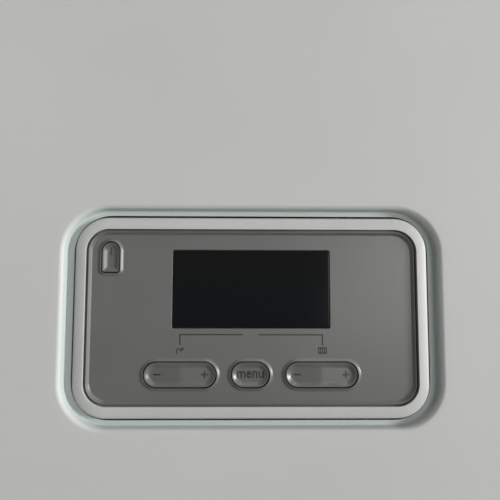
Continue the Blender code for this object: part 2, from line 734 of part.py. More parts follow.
def make_wall_bracket():
    """The rail that is screwed to the wall. The boiler's channel floor hangs behind its two hooks."""
    half_wide = RAIL_WIDTH / 2
    z_range = (RAIL_Z - RAIL_HEIGHT / 2, RAIL_Z + RAIL_HEIGHT / 2)
    rail = block("wall_bracket", (-half_wide, half_wide), (-RAIL_SHEET, 0), z_range)
    beyond = -CHANNEL_DEPTH - BACK_SHEET - SEAT_GAP - HOOK_REACH
    neck = -CHANNEL_DEPTH - BACK_SHEET - SEAT_GAP
    for x in (-HOOK_SPREAD / 2, HOOK_SPREAD / 2):
        low, high = RAIL_Z - RAIL_SHEET / 2, RAIL_Z + RAIL_SHEET / 2
        outline = [(-RAIL_SHEET / 2, low), (beyond, low), (beyond, high + HOOK_RISE)]
        outline += [(beyond + RAIL_SHEET, high + HOOK_RISE), (beyond + RAIL_SHEET, high), (neck, high)]
        outline.append((-RAIL_SHEET / 2, high))
        fuse(rail, prism("hook", outline, x - HOOK_WIDTH / 2, x + HOOK_WIDTH / 2, "x"))
    for x in (-RAIL_HOLE_SPREAD / 2, RAIL_HOLE_SPREAD / 2):
        reach = (-RAIL_SHEET - CUT_OVERRUN, CUT_OVERRUN)
        cut(rail, rod("hole", RAIL_HOLE_RADIUS, *reach, (x, 0, RAIL_Z), "y", 20))
    return finish(rail, "zinc steel")


def make_cover_screws():
    low = -HALF_HEIGHT - SEAT_GAP
    for name, way in (("cover_screw_left", -1), ("cover_screw_right", 1)):
        profile = [(0, low - CASE_SCREW_HEAD_HEIGHT)]
        profile += [(CASE_SCREW_HEAD_RADIUS * 0.8, low - CASE_SCREW_HEAD_HEIGHT)]
        profile += [(CASE_SCREW_HEAD_RADIUS, low - CASE_SCREW_HEAD_HEIGHT / 2)]
        profile += [(CASE_SCREW_HEAD_RADIUS, low), (CASE_SCREW_RADIUS, low)]
        profile += [(CASE_SCREW_RADIUS, low + CASE_SCREW_LENGTH), (0, low + CASE_SCREW_LENGTH)]
        centre = (way * CASE_SCREW_SPREAD / 2, SCREW_Y, 0)
        finish(turned(name, profile, centre, sides=16), "zinc steel")


# The control panel


def bezel_outline(inset):
    wide = inset * (BEZEL_WIDTH - BEZEL_INNER_WIDTH) / 2 / BEZEL_BAND
    high = inset * BEZEL_BAND_HIGH / BEZEL_BAND
    radius = BEZEL_RADIUS - inset
    return rounded(BEZEL_WIDTH - 2 * wide, BEZEL_HEIGHT - 2 * high, radius, 0.0, PANEL_CENTRE_Z)


def make_panel_bezel():
    """A frame with a domed crest, a rounded outer edge and a skirt that wraps the housing."""
    rear = CREST + BEZEL_DEPTH
    loops = [at(bezel_outline(0), rear)]
    for angle in arc_steps(3):
        inset = BEZEL_ROUND * (1 - cos(angle))
        loops.append(at(bezel_outline(inset), CREST + BEZEL_FALL + BEZEL_ROUND * (1 - sin(angle))))
    edge = BEZEL_ROUND / 4
    loops.append(at(bezel_outline(BEZEL_BAND - edge), CREST))
    loops.append(at(bezel_outline(BEZEL_BAND), CREST + edge))
    loops.append(at(bezel_outline(BEZEL_BAND), CREST + BEZEL_THICK))
    loops.append(at(bezel_outline(BEZEL_SKIRT), CREST + BEZEL_THICK))
    loops.append(at(bezel_outline(BEZEL_SKIRT), rear))
    return finish(loft("panel_bezel", loops, ring=True), "white plastic")


def key_outlines():
    """Each key's name and its outline as a function of how far it is drawn in."""

    def lozenge(width, x):
        return lambda inset: rounded(
            width - 2 * inset, KEY_HEIGHT - 2 * inset, KEY_HEIGHT, x, PANEL_CENTRE_Z + KEY_Z
        )

    def arch(inset):
        foot = max(POWER_FOOT_RADIUS - inset, POWER_FOOT_RADIUS / 4)
        width, height = POWER_WIDTH - 2 * inset, POWER_HEIGHT - 2 * inset
        return rounded(width, height, width, POWER_X, PANEL_CENTRE_Z + POWER_Z, foot)

    return {
        "hot_water_rocker": lozenge(ROCKER_WIDTH, HOT_WATER_X),
        "heating_rocker": lozenge(ROCKER_WIDTH, HEATING_X),
        "menu_key": lozenge(MENU_WIDTH, MENU_X),
        "power_key": arch,
    }


def make_panel_face():
    """The grey tray: a raised sloped rim, a collar round each key, and a rebate for the display lens."""
    groove_floor = CREST + BEZEL_THICK + SEAT_GAP
    behind = BEZEL_SKIRT + SEAT_GAP
    rim_top = FACE - RIM_RISE

    def rim(inset, radius):
        wide, high = BEZEL_INNER_WIDTH - 2 * inset, BEZEL_INNER_HEIGHT - 2 * inset
        return rounded(wide, high, radius, 0.0, PANEL_CENTRE_Z)

    loops = [at(bezel_outline(behind), FACE_REAR), at(bezel_outline(behind), groove_floor)]
    loops.append(at(rim(GROOVE, RIM_RADIUS), groove_floor))
    loops.append(at(rim(GROOVE, RIM_RADIUS), rim_top))
    loops.append(at(rim(GROOVE + RIM_SLOPE, RIM_RADIUS - RIM_SLOPE / 2), FACE))
    face = loft("panel_face", loops)
    edge = COLLAR_RISE / 2
    for outline in key_outlines().values():
        wide = -KEY_GAP - COLLAR_WIDTH
        stations = [(FACE + FUSE_DEPTH, wide), (FACE - edge, wide), (FACE - COLLAR_RISE, wide + edge)]
        fuse(face, loft("collar", [at(outline(inset), y) for y, inset in stations]))
    for outline in key_outlines().values():
        low, high = FACE - COLLAR_RISE - CUT_OVERRUN, FACE_REAR + CUT_OVERRUN
        cut(face, loft("hole", [at(outline(-KEY_GAP), y) for y in (low, high)]))
    cut(face, lens_block("rebate", SEAT_GAP, FACE - CUT_OVERRUN, FACE + LENS_THICK + SEAT_GAP))
    cut(face, lens_block("window", -LENS_LEDGE, FACE, FACE_REAR + CUT_OVERRUN))
    for x in (HOT_WATER_X, HEATING_X):
        for way in (-1, 1):
            near, far = EAR_NEAR, EAR_NEAR + EAR_THICK
            z_range = sorted((KEY_CENTRE_Z + way * near, KEY_CENTRE_Z + way * far))
            y_range = (FACE_REAR - FUSE_DEPTH, PIVOT + EAR_DEPTH)
            fuse(face, block("ear", (x - EAR_WIDTH / 2, x + EAR_WIDTH / 2), y_range, z_range))
        reach = (-EAR_NEAR - EAR_THICK - CUT_OVERRUN, EAR_NEAR + EAR_THICK + CUT_OVERRUN)
        bore = rod("bore", PIN_RADIUS + SEAT_GAP, *reach, (x, PIVOT, KEY_CENTRE_Z), sides=12)
        cut(face, bore)
    return finish(face, "grey plastic")


def lens_block(name, spread, front, rear):
    width, height = LENS_WIDTH + 2 * spread, LENS_HEIGHT + 2 * spread
    outline = rounded(width, height, LENS_RADIUS, LENS_X, PANEL_CENTRE_Z + LENS_Z)
    return loft(name, [at(outline, front), at(outline, rear)])


def key_cap(name, outline):
    """A cap with a rounded edge and a dished top."""
    crest = FACE - KEY_RISE - KEY_EDGE / 2
    stations = [(KEY_REAR, 0.0), (crest + KEY_EDGE / 2, 0.0), (crest, KEY_EDGE / 2)]
    stations += [(crest, KEY_EDGE), (crest + KEY_DISH, KEY_EDGE + KEY_DISH_INSET)]
    return loft(name, [at(outline(inset), y) for y, inset in stations])


def plunger(x, z):
    half = PLUNGER / 2
    y_range = (KEY_REAR - FUSE_DEPTH, PLUNGER_END)
    return block("plunger", (x - half, x + half), y_range, (z - half, z + half))


def make_keys():
    outlines = key_outlines()
    for name, x in (("hot_water_rocker", HOT_WATER_X), ("heating_rocker", HEATING_X)):
        rocker = key_cap(name, outlines[name])
        for way in (-1, 1):
            fuse(rocker, plunger(x + way * PLUNGER_SPREAD / 2, KEY_CENTRE_Z))
        reach = KEY_HEIGHT / 2 + PIN_REACH
        pin = rod("pin", PIN_RADIUS, -reach, reach, (x, PIVOT, KEY_CENTRE_Z), sides=12)
        fuse(rocker, pin)
        pivot(finish(rocker, "grey plastic"), (x, PIVOT, KEY_CENTRE_Z))
    for name, x, z in (("menu_key", MENU_X, KEY_CENTRE_Z), ("power_key", POWER_X, PANEL_CENTRE_Z + POWER_Z)):
        key = fuse(key_cap(name, outlines[name]), plunger(x, z))
        pivot(finish(key, "grey plastic"), (x, KEY_REAR, z))


def make_display():
    front = FACE
    finish(lens_block("display_lens", 0.0, front, front + LENS_THICK), "dark glass")
    half_wide = LENS_WIDTH / 2 + MODULE_INSET
    half_high = LENS_HEIGHT / 2 + MODULE_INSET
    centre_z = PANEL_CENTRE_Z + LENS_Z
    module = block(
        "display_module",
        (LENS_X - half_wide, LENS_X + half_wide),
        (FACE_REAR + SEAT_GAP, BOARD_FRONT - SEAT_GAP),
        (centre_z - half_high, centre_z + half_high),
    )
    finish(module, "black plastic")


def make_panel_board():
    """The panel's circuit board, with a switch behind each place that a finger presses."""
    outline = bezel_outline(BEZEL_SKIRT + SEAT_GAP + HOUSING_WALL + BOARD_MARGIN)
    board = loft("panel_board", [at(outline, BOARD_FRONT), at(outline, BOARD_REAR)])
    places = [(MENU_X, KEY_CENTRE_Z), (POWER_X, PANEL_CENTRE_Z + POWER_Z)]
    for x in (HOT_WATER_X, HEATING_X):
        places += [(x + way * PLUNGER_SPREAD / 2, KEY_CENTRE_Z) for way in (-1, 1)]
    for x, z in places:
        for size, front in ((SWITCH_SIZE, SWITCH_FRONT + SWITCH_CAP_HEIGHT), (SWITCH_CAP, SWITCH_FRONT)):
            half = size / 2
            y_range = (front, BOARD_FRONT + FUSE_DEPTH)
            fuse(board, block("switch", (x - half, x + half), y_range, (z - half, z + half)))
    y_range = (BOARD_REAR - FUSE_DEPTH, SOCKET_REAR)
    half = SWITCH_SIZE
    x_range = (PANEL_CABLE_X - half, PANEL_CABLE_X + half)
    z_range = (PANEL_CABLE_Z - half / 2, PANEL_CABLE_Z + half / 2)
    fuse(board, block("socket", x_range, y_range, z_range))
    return finish(board, "circuit board")


def make_panel_housing():
    """The tub behind the panel: four posts carry the circuit board, and a hole lets the cable out."""
    inset = BEZEL_SKIRT + SEAT_GAP
    outside, inside = bezel_outline(inset), bezel_outline(inset + HOUSING_WALL)
    loops = [at(outside, HOUSING_REAR), at(outside, HOUSING_FRONT), at(inside, HOUSING_FRONT)]
    loops.append(at(inside, HOUSING_REAR - HOUSING_WALL))
    housing = loft("panel_housing", loops)
    half = HOUSING_POST / 2
    for way_x in (-1, 1):
        for way_z in (-1, 1):
            x = way_x * (BEZEL_WIDTH / 2 - HOUSING_POST_INSET)
            z = PANEL_CENTRE_Z + way_z * (BEZEL_HEIGHT / 2 - HOUSING_POST_INSET)
            y_range = (BOARD_REAR + SEAT_GAP, HOUSING_REAR - HOUSING_WALL / 2)
            fuse(housing, block("post", (x - half, x + half), y_range, (z - half, z + half)))
    reach = (HOUSING_REAR - HOUSING_WALL - CUT_OVERRUN, HOUSING_REAR + CUT_OVERRUN)
    centre = (PANEL_CABLE_X, 0, PANEL_CABLE_Z)
    cut(housing, rod("hole", PANEL_CABLE_RADIUS + SEAT_GAP, *reach, centre, "y"))
    return finish(housing, "black plastic")


def make_panel_bracket():
    """The cross-member that carries the housing, between the side panels' lips."""
    side = HALF_WIDTH - LIP_INSET - SHEET - SEAT_GAP
    rear = BRACKET_FRONT + BRACKET_SHEET
    outline = [(-side, rear + BRACKET_FLANGE), (-side, BRACKET_FRONT), (side, BRACKET_FRONT)]
    outline += [(side, rear + BRACKET_FLANGE), (side - BRACKET_SHEET, rear + BRACKET_FLANGE)]
    outline += [(side - BRACKET_SHEET, rear), (-side + BRACKET_SHEET, rear)]
    outline.append((-side + BRACKET_SHEET, rear + BRACKET_FLANGE))
    half = BRACKET_HEIGHT / 2
    bracket = prism("panel_bracket", outline, PANEL_CENTRE_Z - half, PANEL_CENTRE_Z + half, "z")
    return finish(bracket, "zinc steel")


# Expansion vessel


def make_expansion_vessel():
    """A flat steel vessel with a rolled seam round its middle and its water port in front."""
    seam = TANK_RADIUS + TANK_RIM
    flat = TANK_RADIUS - TANK_SHOULDER
    wall = TANK_WALL
    rim_half = TANK_RIM / 2
    rear, front = TANK_BACK, TANK_FRONT
    profile = [(0, rear), (flat, rear), (TANK_RADIUS, rear - TANK_CROWN)]
    profile += [(TANK_RADIUS, TANK_MIDDLE + rim_half), (seam, TANK_MIDDLE + rim_half)]
    profile += [(seam, TANK_MIDDLE - rim_half), (TANK_RADIUS, TANK_MIDDLE - rim_half)]
    profile += [(TANK_RADIUS, front + TANK_CROWN), (flat, front), (TANK_PORT_RADIUS, front)]
    profile += [(TANK_PORT_RADIUS, front - TANK_PORT_LENGTH), (TANK_PORT_BORE, front - TANK_PORT_LENGTH)]
    profile += [(TANK_PORT_BORE, front + wall), (flat, front + wall)]
    profile += [(TANK_RADIUS - wall, front + TANK_CROWN), (TANK_RADIUS - wall, rear - TANK_CROWN)]
    profile += [(flat, rear - wall), (0, rear - wall)]
    tank = turned("expansion_vessel", profile, (TANK_X, 0, TANK_Z), "y", 28)
    finish(tank, "red enamel")
    edge = TANK_RADIUS - wall - SEAT_GAP
    thick = DIAPHRAGM_THICK
    bulge = TANK_MIDDLE + DIAPHRAGM_SAG
    dish = [(0, bulge), (edge * 0.6, bulge), (edge * 0.9, TANK_MIDDLE), (edge, TANK_MIDDLE)]
    dish += [(edge, TANK_MIDDLE - thick), (edge * 0.9, TANK_MIDDLE - thick)]
    dish += [(edge * 0.6, bulge - thick), (0, bulge - thick)]
    finish(turned("expansion_diaphragm", dish, (TANK_X, 0, TANK_Z), "y", 28), "rubber")
    low = TANK_Z + TANK_RADIUS + SEAT_GAP
    gas_y = (TANK_BACK - TANK_CROWN + TANK_MIDDLE + rim_half) / 2
    stem = [(0, low), (GAS_VALVE_RADIUS, low), (GAS_VALVE_RADIUS, low + GAS_VALVE_LENGTH / 2)]
    stem += [(GAS_VALVE_RADIUS * 0.7, low + GAS_VALVE_LENGTH / 2)]
    stem += [(GAS_VALVE_RADIUS * 0.7, low + GAS_VALVE_LENGTH), (0, low + GAS_VALVE_LENGTH)]
    finish(turned("gas_valve", stem, (TANK_X, gas_y, 0), sides=12), "brass")


# Exchanger and heating elements


def make_exchanger():
    """A steel vessel, open at the top for the heater flange, with pipe sockets below and at its side."""
    outer, inner = VESSEL_RADIUS, VESSEL_RADIUS - VESSEL_WALL
    dome_top = VESSEL_BOTTOM + VESSEL_DOME
    profile = [(SOCKET_RADIUS, INLET_END), (SOCKET_RADIUS, VESSEL_BOTTOM)]
    profile += [(outer * 0.75, VESSEL_BOTTOM + VESSEL_DOME * 0.35), (outer, dome_top)]
    profile += [(outer, VESSEL_TOP - FLANGE_RING), (FLANGE_RADIUS, VESSEL_TOP - FLANGE_RING)]
    profile += [(FLANGE_RADIUS, VESSEL_TOP), (inner, VESSEL_TOP), (inner, dome_top)]
    profile += [(inner * 0.75, VESSEL_BOTTOM + VESSEL_DOME * 0.35 + VESSEL_WALL)]
    profile += [(SOCKET_BORE, VESSEL_BOTTOM + VESSEL_WALL), (SOCKET_BORE, INLET_END)]
    vessel = turned("exchanger_vessel", profile, (JACKET_X, JACKET_Y, 0), sides=28)
    side = (JACKET_X, JACKET_Y, SIDE_PORT_Z)
    port_end = -VESSEL_RADIUS - SIDE_PORT_LENGTH
    fuse(vessel, rod("port", SOCKET_RADIUS, port_end, -inner - VESSEL_WALL / 4, side, "x"))
    cut(vessel, rod("bore", SOCKET_BORE, port_end - CUT_OVERRUN, -inner + CUT_OVERRUN * 4, side, "x"))
    finish(vessel, "stainless steel")
    jacket_low = VESSEL_BOTTOM + VESSEL_DOME
    bore = VESSEL_RADIUS + SEAT_GAP
    ring = [(bore, jacket_low), (JACKET_RADIUS, jacket_low)]
    ring += [(JACKET_RADIUS, JACKET_TOP), (bore, JACKET_TOP)]
    jacket = turned("insulating_jacket", ring, (JACKET_X, JACKET_Y, 0), sides=28)
    finish(jacket, "foam")
    lower = jacket_low + BAND_FROM_END
    upper = JACKET_TOP - BAND_FROM_END - BAND_HEIGHT
    for name, low in (("exchanger_bracket_lower", lower), ("exchanger_bracket_upper", upper)):
        make_exchanger_bracket(name, low)


def make_exchanger_bracket(name, low):
    """A band round the jacket, on an arm that is screwed to the back plate."""
    high = low + BAND_HEIGHT
    bore = JACKET_RADIUS + SEAT_GAP
    outer = bore + BAND_THICK
    ring = [(bore, low), (outer, low), (outer, high), (bore, high)]
    band = turned(name, ring, (JACKET_X, JACKET_Y, 0), sides=28)
    arm_left = ARM_RIGHT - ARM_THICK
    back = -BACK_SHEET - SEAT_GAP
    outline = [(ARM_RIGHT, back), (ARM_RIGHT, JACKET_Y), (arm_left, JACKET_Y)]
    outline += [(arm_left, back - FOOT_THICK), (arm_left - FOOT_WIDTH, back - FOOT_THICK)]
    outline.append((arm_left - FOOT_WIDTH, back))
    fuse(band, prism("arm", outline, low, high, "z"))
    return finish(band, "zinc steel")


def element_leg_places(turn):
    """Where the two legs of one element pass the flange."""
    angle = 2 * pi * turn / ELEMENTS
    out = Vector((cos(angle), sin(angle), 0))
    along = Vector((-sin(angle), cos(angle), 0))
    centre = Vector((JACKET_X, JACKET_Y, 0)) + out * ELEMENT_RING
    return centre - along * ELEMENT_HALF_GAP, centre + along * ELEMENT_HALF_GAP


def make_heater():
    """The flange plate, and the U-shaped elements that hang from it into the water."""
    centre = (JACKET_X, JACKET_Y, 0)
    low, high = HEATER_FLANGE_LOW, HEATER_FLANGE_TOP
    flange = rod("heater_flange", FLANGE_RADIUS, low, high, centre, sides=28)
    top = high + TERMINAL_RISE
    bottom = VESSEL_BOTTOM + ELEMENT_ABOVE_BOTTOM
    lift = Vector((0, 0, 1))
    for turn in range(ELEMENTS):
        legs = element_leg_places(turn)
        for leg in legs:
            reach = (low - CUT_OVERRUN, high + CUT_OVERRUN)
            cut(flange, rod("hole", ELEMENT_RADIUS + SEAT_GAP, *reach, leg, sides=12))
        first, second = legs
        corners = [first + lift * top, first + lift * bottom, second + lift * bottom, second + lift * top]
        route = bent(corners, ELEMENT_HALF_GAP * 0.9)
        element = tube(f"heating_element_{turn + 1}", route, ELEMENT_RADIUS, sides=10)
        finish(element, "stainless steel")
    finish(flange, "stainless steel")
    wall = COVER_CAP_WALL
    base = high + SEAT_GAP
    peak = base + COVER_CAP_HEIGHT
    dome = COVER_CAP_RADIUS * 0.85
    cap = [(0, peak), (dome, peak), (COVER_CAP_RADIUS, peak - wall * 3), (COVER_CAP_RADIUS, base)]
    cap += [(COVER_CAP_RADIUS - wall, base), (COVER_CAP_RADIUS - wall, peak - wall * 3)]
    cap += [(dome - wall, peak - wall), (0, peak - wall)]
    finish(turned("element_cover", cap, centre), "light plastic")


def flange_place(degrees):
    angle = radians(degrees)
    return (JACKET_X + FITTING_RING * cos(angle), JACKET_Y + FITTING_RING * sin(angle), 0)


def make_flange_fittings():
    """Sensor, thermostat and air vent stand on the flange round the element cover."""
    low = HEATER_FLANGE_TOP + SEAT_GAP
    sensor = [(0, low), (SENSOR_RADIUS, low), (SENSOR_RADIUS, low + SENSOR_HEIGHT / 3)]
    sensor += [(SENSOR_RADIUS / 2, low + SENSOR_HEIGHT / 3)]
    sensor += [(SENSOR_RADIUS / 2, low + SENSOR_HEIGHT), (0, low + SENSOR_HEIGHT)]
    finish(turned("flow_temperature_sensor", sensor, flange_place(60), sides=12), "brass")
    switch = [(0, low), (THERMOSTAT_RADIUS, low), (THERMOSTAT_RADIUS, low + THERMOSTAT_HEIGHT / 2)]
    switch += [(THERMOSTAT_RADIUS * 0.8, low + THERMOSTAT_HEIGHT / 2)]
    switch += [(THERMOSTAT_RADIUS * 0.8, low + THERMOSTAT_HEIGHT), (0, low + THERMOSTAT_HEIGHT)]
    finish(turned("safety_thermostat", switch, flange_place(-60), sides=16), "black plastic")
    x, y, _ = flange_place(180)
    top = low + VENT_HEIGHT
    hole = STEM_RADIUS + SEAT_GAP
    vent = [(0, low), (VENT_RADIUS * 0.6, low), (VENT_RADIUS * 0.6, low + VENT_HEIGHT / 5)]
    vent += [(VENT_RADIUS, low + VENT_HEIGHT / 3), (VENT_RADIUS, top - VENT_HEIGHT / 5)]
    vent += [(VENT_RADIUS * 0.6, top), (hole, top), (hole, top - STEM_HOLE_DEPTH)]
    vent.append((0, top - STEM_HOLE_DEPTH))
    finish(turned("air_vent", vent, (x, y, 0), sides=16), "brass")
    base = top + SEAT_GAP
    stem_end = base - STEM_HOLE_DEPTH
    cap = [(0, stem_end), (STEM_RADIUS, stem_end), (STEM_RADIUS, base), (VENT_CAP_RADIUS, base)]
    cap += [(VENT_CAP_RADIUS, base + VENT_CAP_HEIGHT), (0, base + VENT_CAP_HEIGHT)]
    piece = finish(turned("air_vent_cap", cap, (x, y, 0), sides=16), "black plastic")
    pivot(piece, (x, y, base))


# Water circuit


def fitting(name, x, low_end, top, ways):
    """A brass body with side branches. One that passes the bottom plate has a nut above and one below."""
    centre = (x, PIPE_Y, 0)
    body = rod(name, UNION_RADIUS, low_end, top, centre, sides=16)
    if low_end < -HALF_HEIGHT:
        above = -HALF_HEIGHT + SHEET + SEAT_GAP
        below = -HALF_HEIGHT - SEAT_GAP
        fuse(body, hexagon("nut", UNION_NUT, above, above + UNION_NUT_HEIGHT, centre))
        fuse(body, hexagon("hexagon", UNION_NUT, below - UNION_NUT_HEIGHT, below, centre))
    spot = (x, PIPE_Y, BRANCH_Z)
    for axis, end, radius in ways:
        low, high = sorted((0.0, end))
        fuse(body, rod("branch", radius, low, high, spot, axis, 12))
    for axis, end, radius in ways:
        low, high = sorted((0.0, end + CUT_OVERRUN * (1 if end > 0 else -1)))
        cut(body, rod("bore", BRANCH_BORE, low, high, spot, axis, 12))
    reach = (low_end - CUT_OVERRUN, top + CUT_OVERRUN)
    cut(body, rod("bore", SOCKET_BORE, *reach, centre, sides=16))
    return finish(body, "brass")


def make_connections():
    cock_side = COCK_X - COCK_RADIUS - SEAT_GAP - FLOW_X
    fitting("flow_connection", FLOW_X, UNION_END, FLOW_TOP, [("x", cock_side, BRANCH_RADIUS)])
    safety_side = SAFETY_X + SAFETY_RADIUS + SEAT_GAP - RETURN_X
    expansion = EXPANSION_PORT_Y - PIPE_Y
    ways = [("x", safety_side, BRANCH_RADIUS), ("y", expansion, BRANCH_RADIUS)]
    fitting("return_connection", RETURN_X, UNION_END, MANIFOLD_END - SEAT_GAP, [])
    fitting("return_manifold", RETURN_X, MANIFOLD_END, RETURN_TOP, ways)


def make_pipes():
    bore = PIPE_RADIUS - PIPE_WALL
    port_x = JACKET_X - VESSEL_RADIUS - SIDE_PORT_LENGTH + PIPE_INSERT
    corners = [(port_x, PIPE_Y, SIDE_PORT_Z), (FLOW_X, PIPE_Y, SIDE_PORT_Z)]
    corners.append((FLOW_X, PIPE_Y, FLOW_TOP - PIPE_INSERT))
    finish(tube("flow_pipe", bent(corners, PIPE_BEND), PIPE_RADIUS, bore, sides=10), "copper")
    start = PUMP_Z + PORT_REACH - PIPE_INSERT
    corners = [(RETURN_X, PIPE_Y, start), (RETURN_X, PIPE_Y, CROSS_PIPE_Z)]
    corners += [(JACKET_X, PIPE_Y, CROSS_PIPE_Z), (JACKET_X, PIPE_Y, INLET_END + PIPE_INSERT)]
    finish(tube("pump_outlet_pipe", bent(corners, PIPE_BEND), PIPE_RADIUS, bore, sides=10), "copper")
    corners = [(TANK_X, TANK_FRONT - TANK_PORT_LENGTH - SEAT_GAP, TANK_Z)]
    corners += [(TANK_X, -SMALL_PIPE_BEHIND, TANK_Z), (TANK_X, -SMALL_PIPE_BEHIND, BRANCH_Z)]
    corners += [(RETURN_X, -SMALL_PIPE_BEHIND, BRANCH_Z)]
    corners.append((RETURN_X, EXPANSION_PORT_Y + SEAT_GAP, BRANCH_Z))
    route = bent(corners, SMALL_PIPE_BEND, steps=3)
    wall_bore = SMALL_PIPE_RADIUS - PIPE_WALL
    finish(tube("expansion_pipe", route, SMALL_PIPE_RADIUS, wall_bore, sides=8), "copper")


def make_pump():
    """A circulating pump: a cast volute with its two ports in line, and a motor that faces the front."""
    centre = (RETURN_X, 0, PUMP_Z)
    rear = PIPE_Y + VOLUTE_DEPTH / 2
    front = PIPE_Y - VOLUTE_DEPTH / 2
    hollow = VOLUTE_RADIUS - VOLUTE_WALL
    cup = [(0, rear), (VOLUTE_RADIUS * 0.9, rear), (VOLUTE_RADIUS, rear - VOLUTE_WALL)]
    cup += [(VOLUTE_RADIUS, front), (hollow, front), (hollow, rear - VOLUTE_WALL), (0, rear - VOLUTE_WALL)]
    body = turned("pump_body", cup, centre, "y")
    at_port = (RETURN_X, PIPE_Y, PUMP_Z)
    inside = hollow + VOLUTE_WALL / 2
    for low, high in ((-PORT_REACH, -inside), (inside, PORT_REACH)):
        fuse(body, rod("port", PORT_RADIUS, low, high, at_port))
    beyond = PORT_REACH + CUT_OVERRUN
    for low, high in ((-beyond, -IMPELLER_RADIUS), (IMPELLER_RADIUS, beyond)):
        cut(body, rod("bore", SOCKET_BORE, low, high, at_port))
    finish(body, "cast iron")
    seat = front - SEAT_GAP
    end = seat - MOTOR_DEPTH
    can = ROTOR_RADIUS + ROTOR_GAP
    bush = SHAFT_RADIUS + SEAT_GAP
    motor = [(0, end), (MOTOR_RADIUS * 0.85, end), (MOTOR_RADIUS, end + MOTOR_WALL)]
    motor += [(MOTOR_RADIUS, seat - MOTOR_WALL), (VOLUTE_RADIUS, seat - MOTOR_WALL), (VOLUTE_RADIUS, seat)]
    motor += [(bush, seat), (bush, seat - MOTOR_WALL), (can, seat - MOTOR_WALL)]
    motor += [(can, end + MOTOR_WALL), (bush, end + MOTOR_WALL)]
    motor += [(bush, end + MOTOR_WALL / 2), (0, end + MOTOR_WALL / 2)]
    finish(turned("pump_motor", motor, centre, "y"), "black plastic")
    core_rear = seat - MOTOR_WALL - ROTOR_GAP
    core_front = end + MOTOR_WALL + ROTOR_GAP
    wheel = PIPE_Y - IMPELLER_DEPTH / 2
    rotor = [(0, end + MOTOR_WALL / 2 + SEAT_GAP), (SHAFT_RADIUS, end + MOTOR_WALL / 2 + SEAT_GAP)]
    rotor += [(SHAFT_RADIUS, core_front), (ROTOR_RADIUS, core_front), (ROTOR_RADIUS, core_rear)]
    rotor += [(SHAFT_RADIUS, core_rear), (SHAFT_RADIUS, wheel), (IMPELLER_RADIUS, wheel)]
    rotor += [(IMPELLER_RADIUS, wheel + IMPELLER_DEPTH), (0, wheel + IMPELLER_DEPTH)]
    piece = turned("pump_rotor", rotor, centre, "y", 20)
    pivot(finish(piece, "stainless steel"), (RETURN_X, PIPE_Y, PUMP_Z))


def make_safety_valve():
    """A spring safety valve, with its outlet through the bottom plate and its knob on top."""
    centre = (SAFETY_X, PIPE_Y, 0)
    low = BRANCH_Z - SAFETY_HEIGHT / 2
    top = BRANCH_Z + SAFETY_HEIGHT / 2
    end = -HALF_HEIGHT - SAFETY_BELOW
    hole = STEM_RADIUS + SEAT_GAP
    profile = [(0, BRANCH_Z), (SAFETY_OUTLET_BORE, BRANCH_Z), (SAFETY_OUTLET_BORE, end)]
    profile += [(SAFETY_OUTLET_RADIUS, end), (SAFETY_OUTLET_RADIUS, low), (SAFETY_RADIUS, low)]
    profile += [(SAFETY_RADIUS, top), (hole, top), (hole, top - STEM_HOLE_DEPTH)]
    profile.append((0, top - STEM_HOLE_DEPTH))
    finish(turned("safety_valve", profile, centre), "brass")
    base = top + SEAT_GAP
    points = []
    for step in range(KNOB_LOBES * 2):
        angle = pi * step / KNOB_LOBES
        radius = KNOB_RADIUS if step % 2 else KNOB_RADIUS * 0.88
        points.append((SAFETY_X + radius * cos(angle), PIPE_Y + radius * sin(angle)))
    knob = prism("safety_valve_knob", points, base, base + KNOB_HEIGHT, "z")
    reach = (base - STEM_HOLE_DEPTH + SEAT_GAP, base + FUSE_DEPTH)
    fuse(knob, rod("stem", STEM_RADIUS, *reach, centre, sides=12))
    pivot(finish(knob, "red plastic"), (SAFETY_X, PIPE_Y, base))


def make_filling_cock():
    """A ball cock under the boiler, for filling and draining, with a quarter-turn lever in front."""
    centre = (COCK_X, PIPE_Y, 0)
    top = BRANCH_Z + BRANCH_RADIUS
    end = -HALF_HEIGHT - COCK_BELOW
    profile = [(0, BRANCH_Z), (COCK_BORE, BRANCH_Z), (COCK_BORE, end), (COCK_RADIUS, end)]
    profile += [(COCK_RADIUS, top), (0, top)]
    cock = turned("filling_cock", profile, centre)
    spot = (COCK_X, PIPE_Y, LEVER_Z)
    deep = COCK_BORE + (COCK_RADIUS - COCK_BORE) / 2
    fuse(cock, rod("boss", COCK_BOSS_RADIUS, -COCK_BOSS_REACH, -deep, spot, "y"))
    reach = (-COCK_BOSS_REACH - CUT_OVERRUN, -COCK_BOSS_REACH + STEM_HOLE_DEPTH)
    cut(cock, rod("stem hole", STEM_RADIUS + SEAT_GAP, *reach, spot, "y", 12))
    finish(cock, "brass")
    rear = PIPE_Y - COCK_BOSS_REACH - SEAT_GAP
    half = LEVER_WIDTH / 2
    lever = block(
        "filling_cock_lever",
        (COCK_X - half, COCK_X + LEVER_LENGTH),
        (rear - LEVER_THICK, rear),
        (LEVER_Z - half, LEVER_Z + half),
    )
    stem = (-LEVER_THICK / 2, STEM_HOLE_DEPTH - SEAT_GAP)
    fuse(lever, rod("stem", STEM_RADIUS, *stem, (COCK_X, rear, LEVER_Z), "y", 12))
    pivot(finish(lever, "red plastic"), (COCK_X, rear, LEVER_Z))


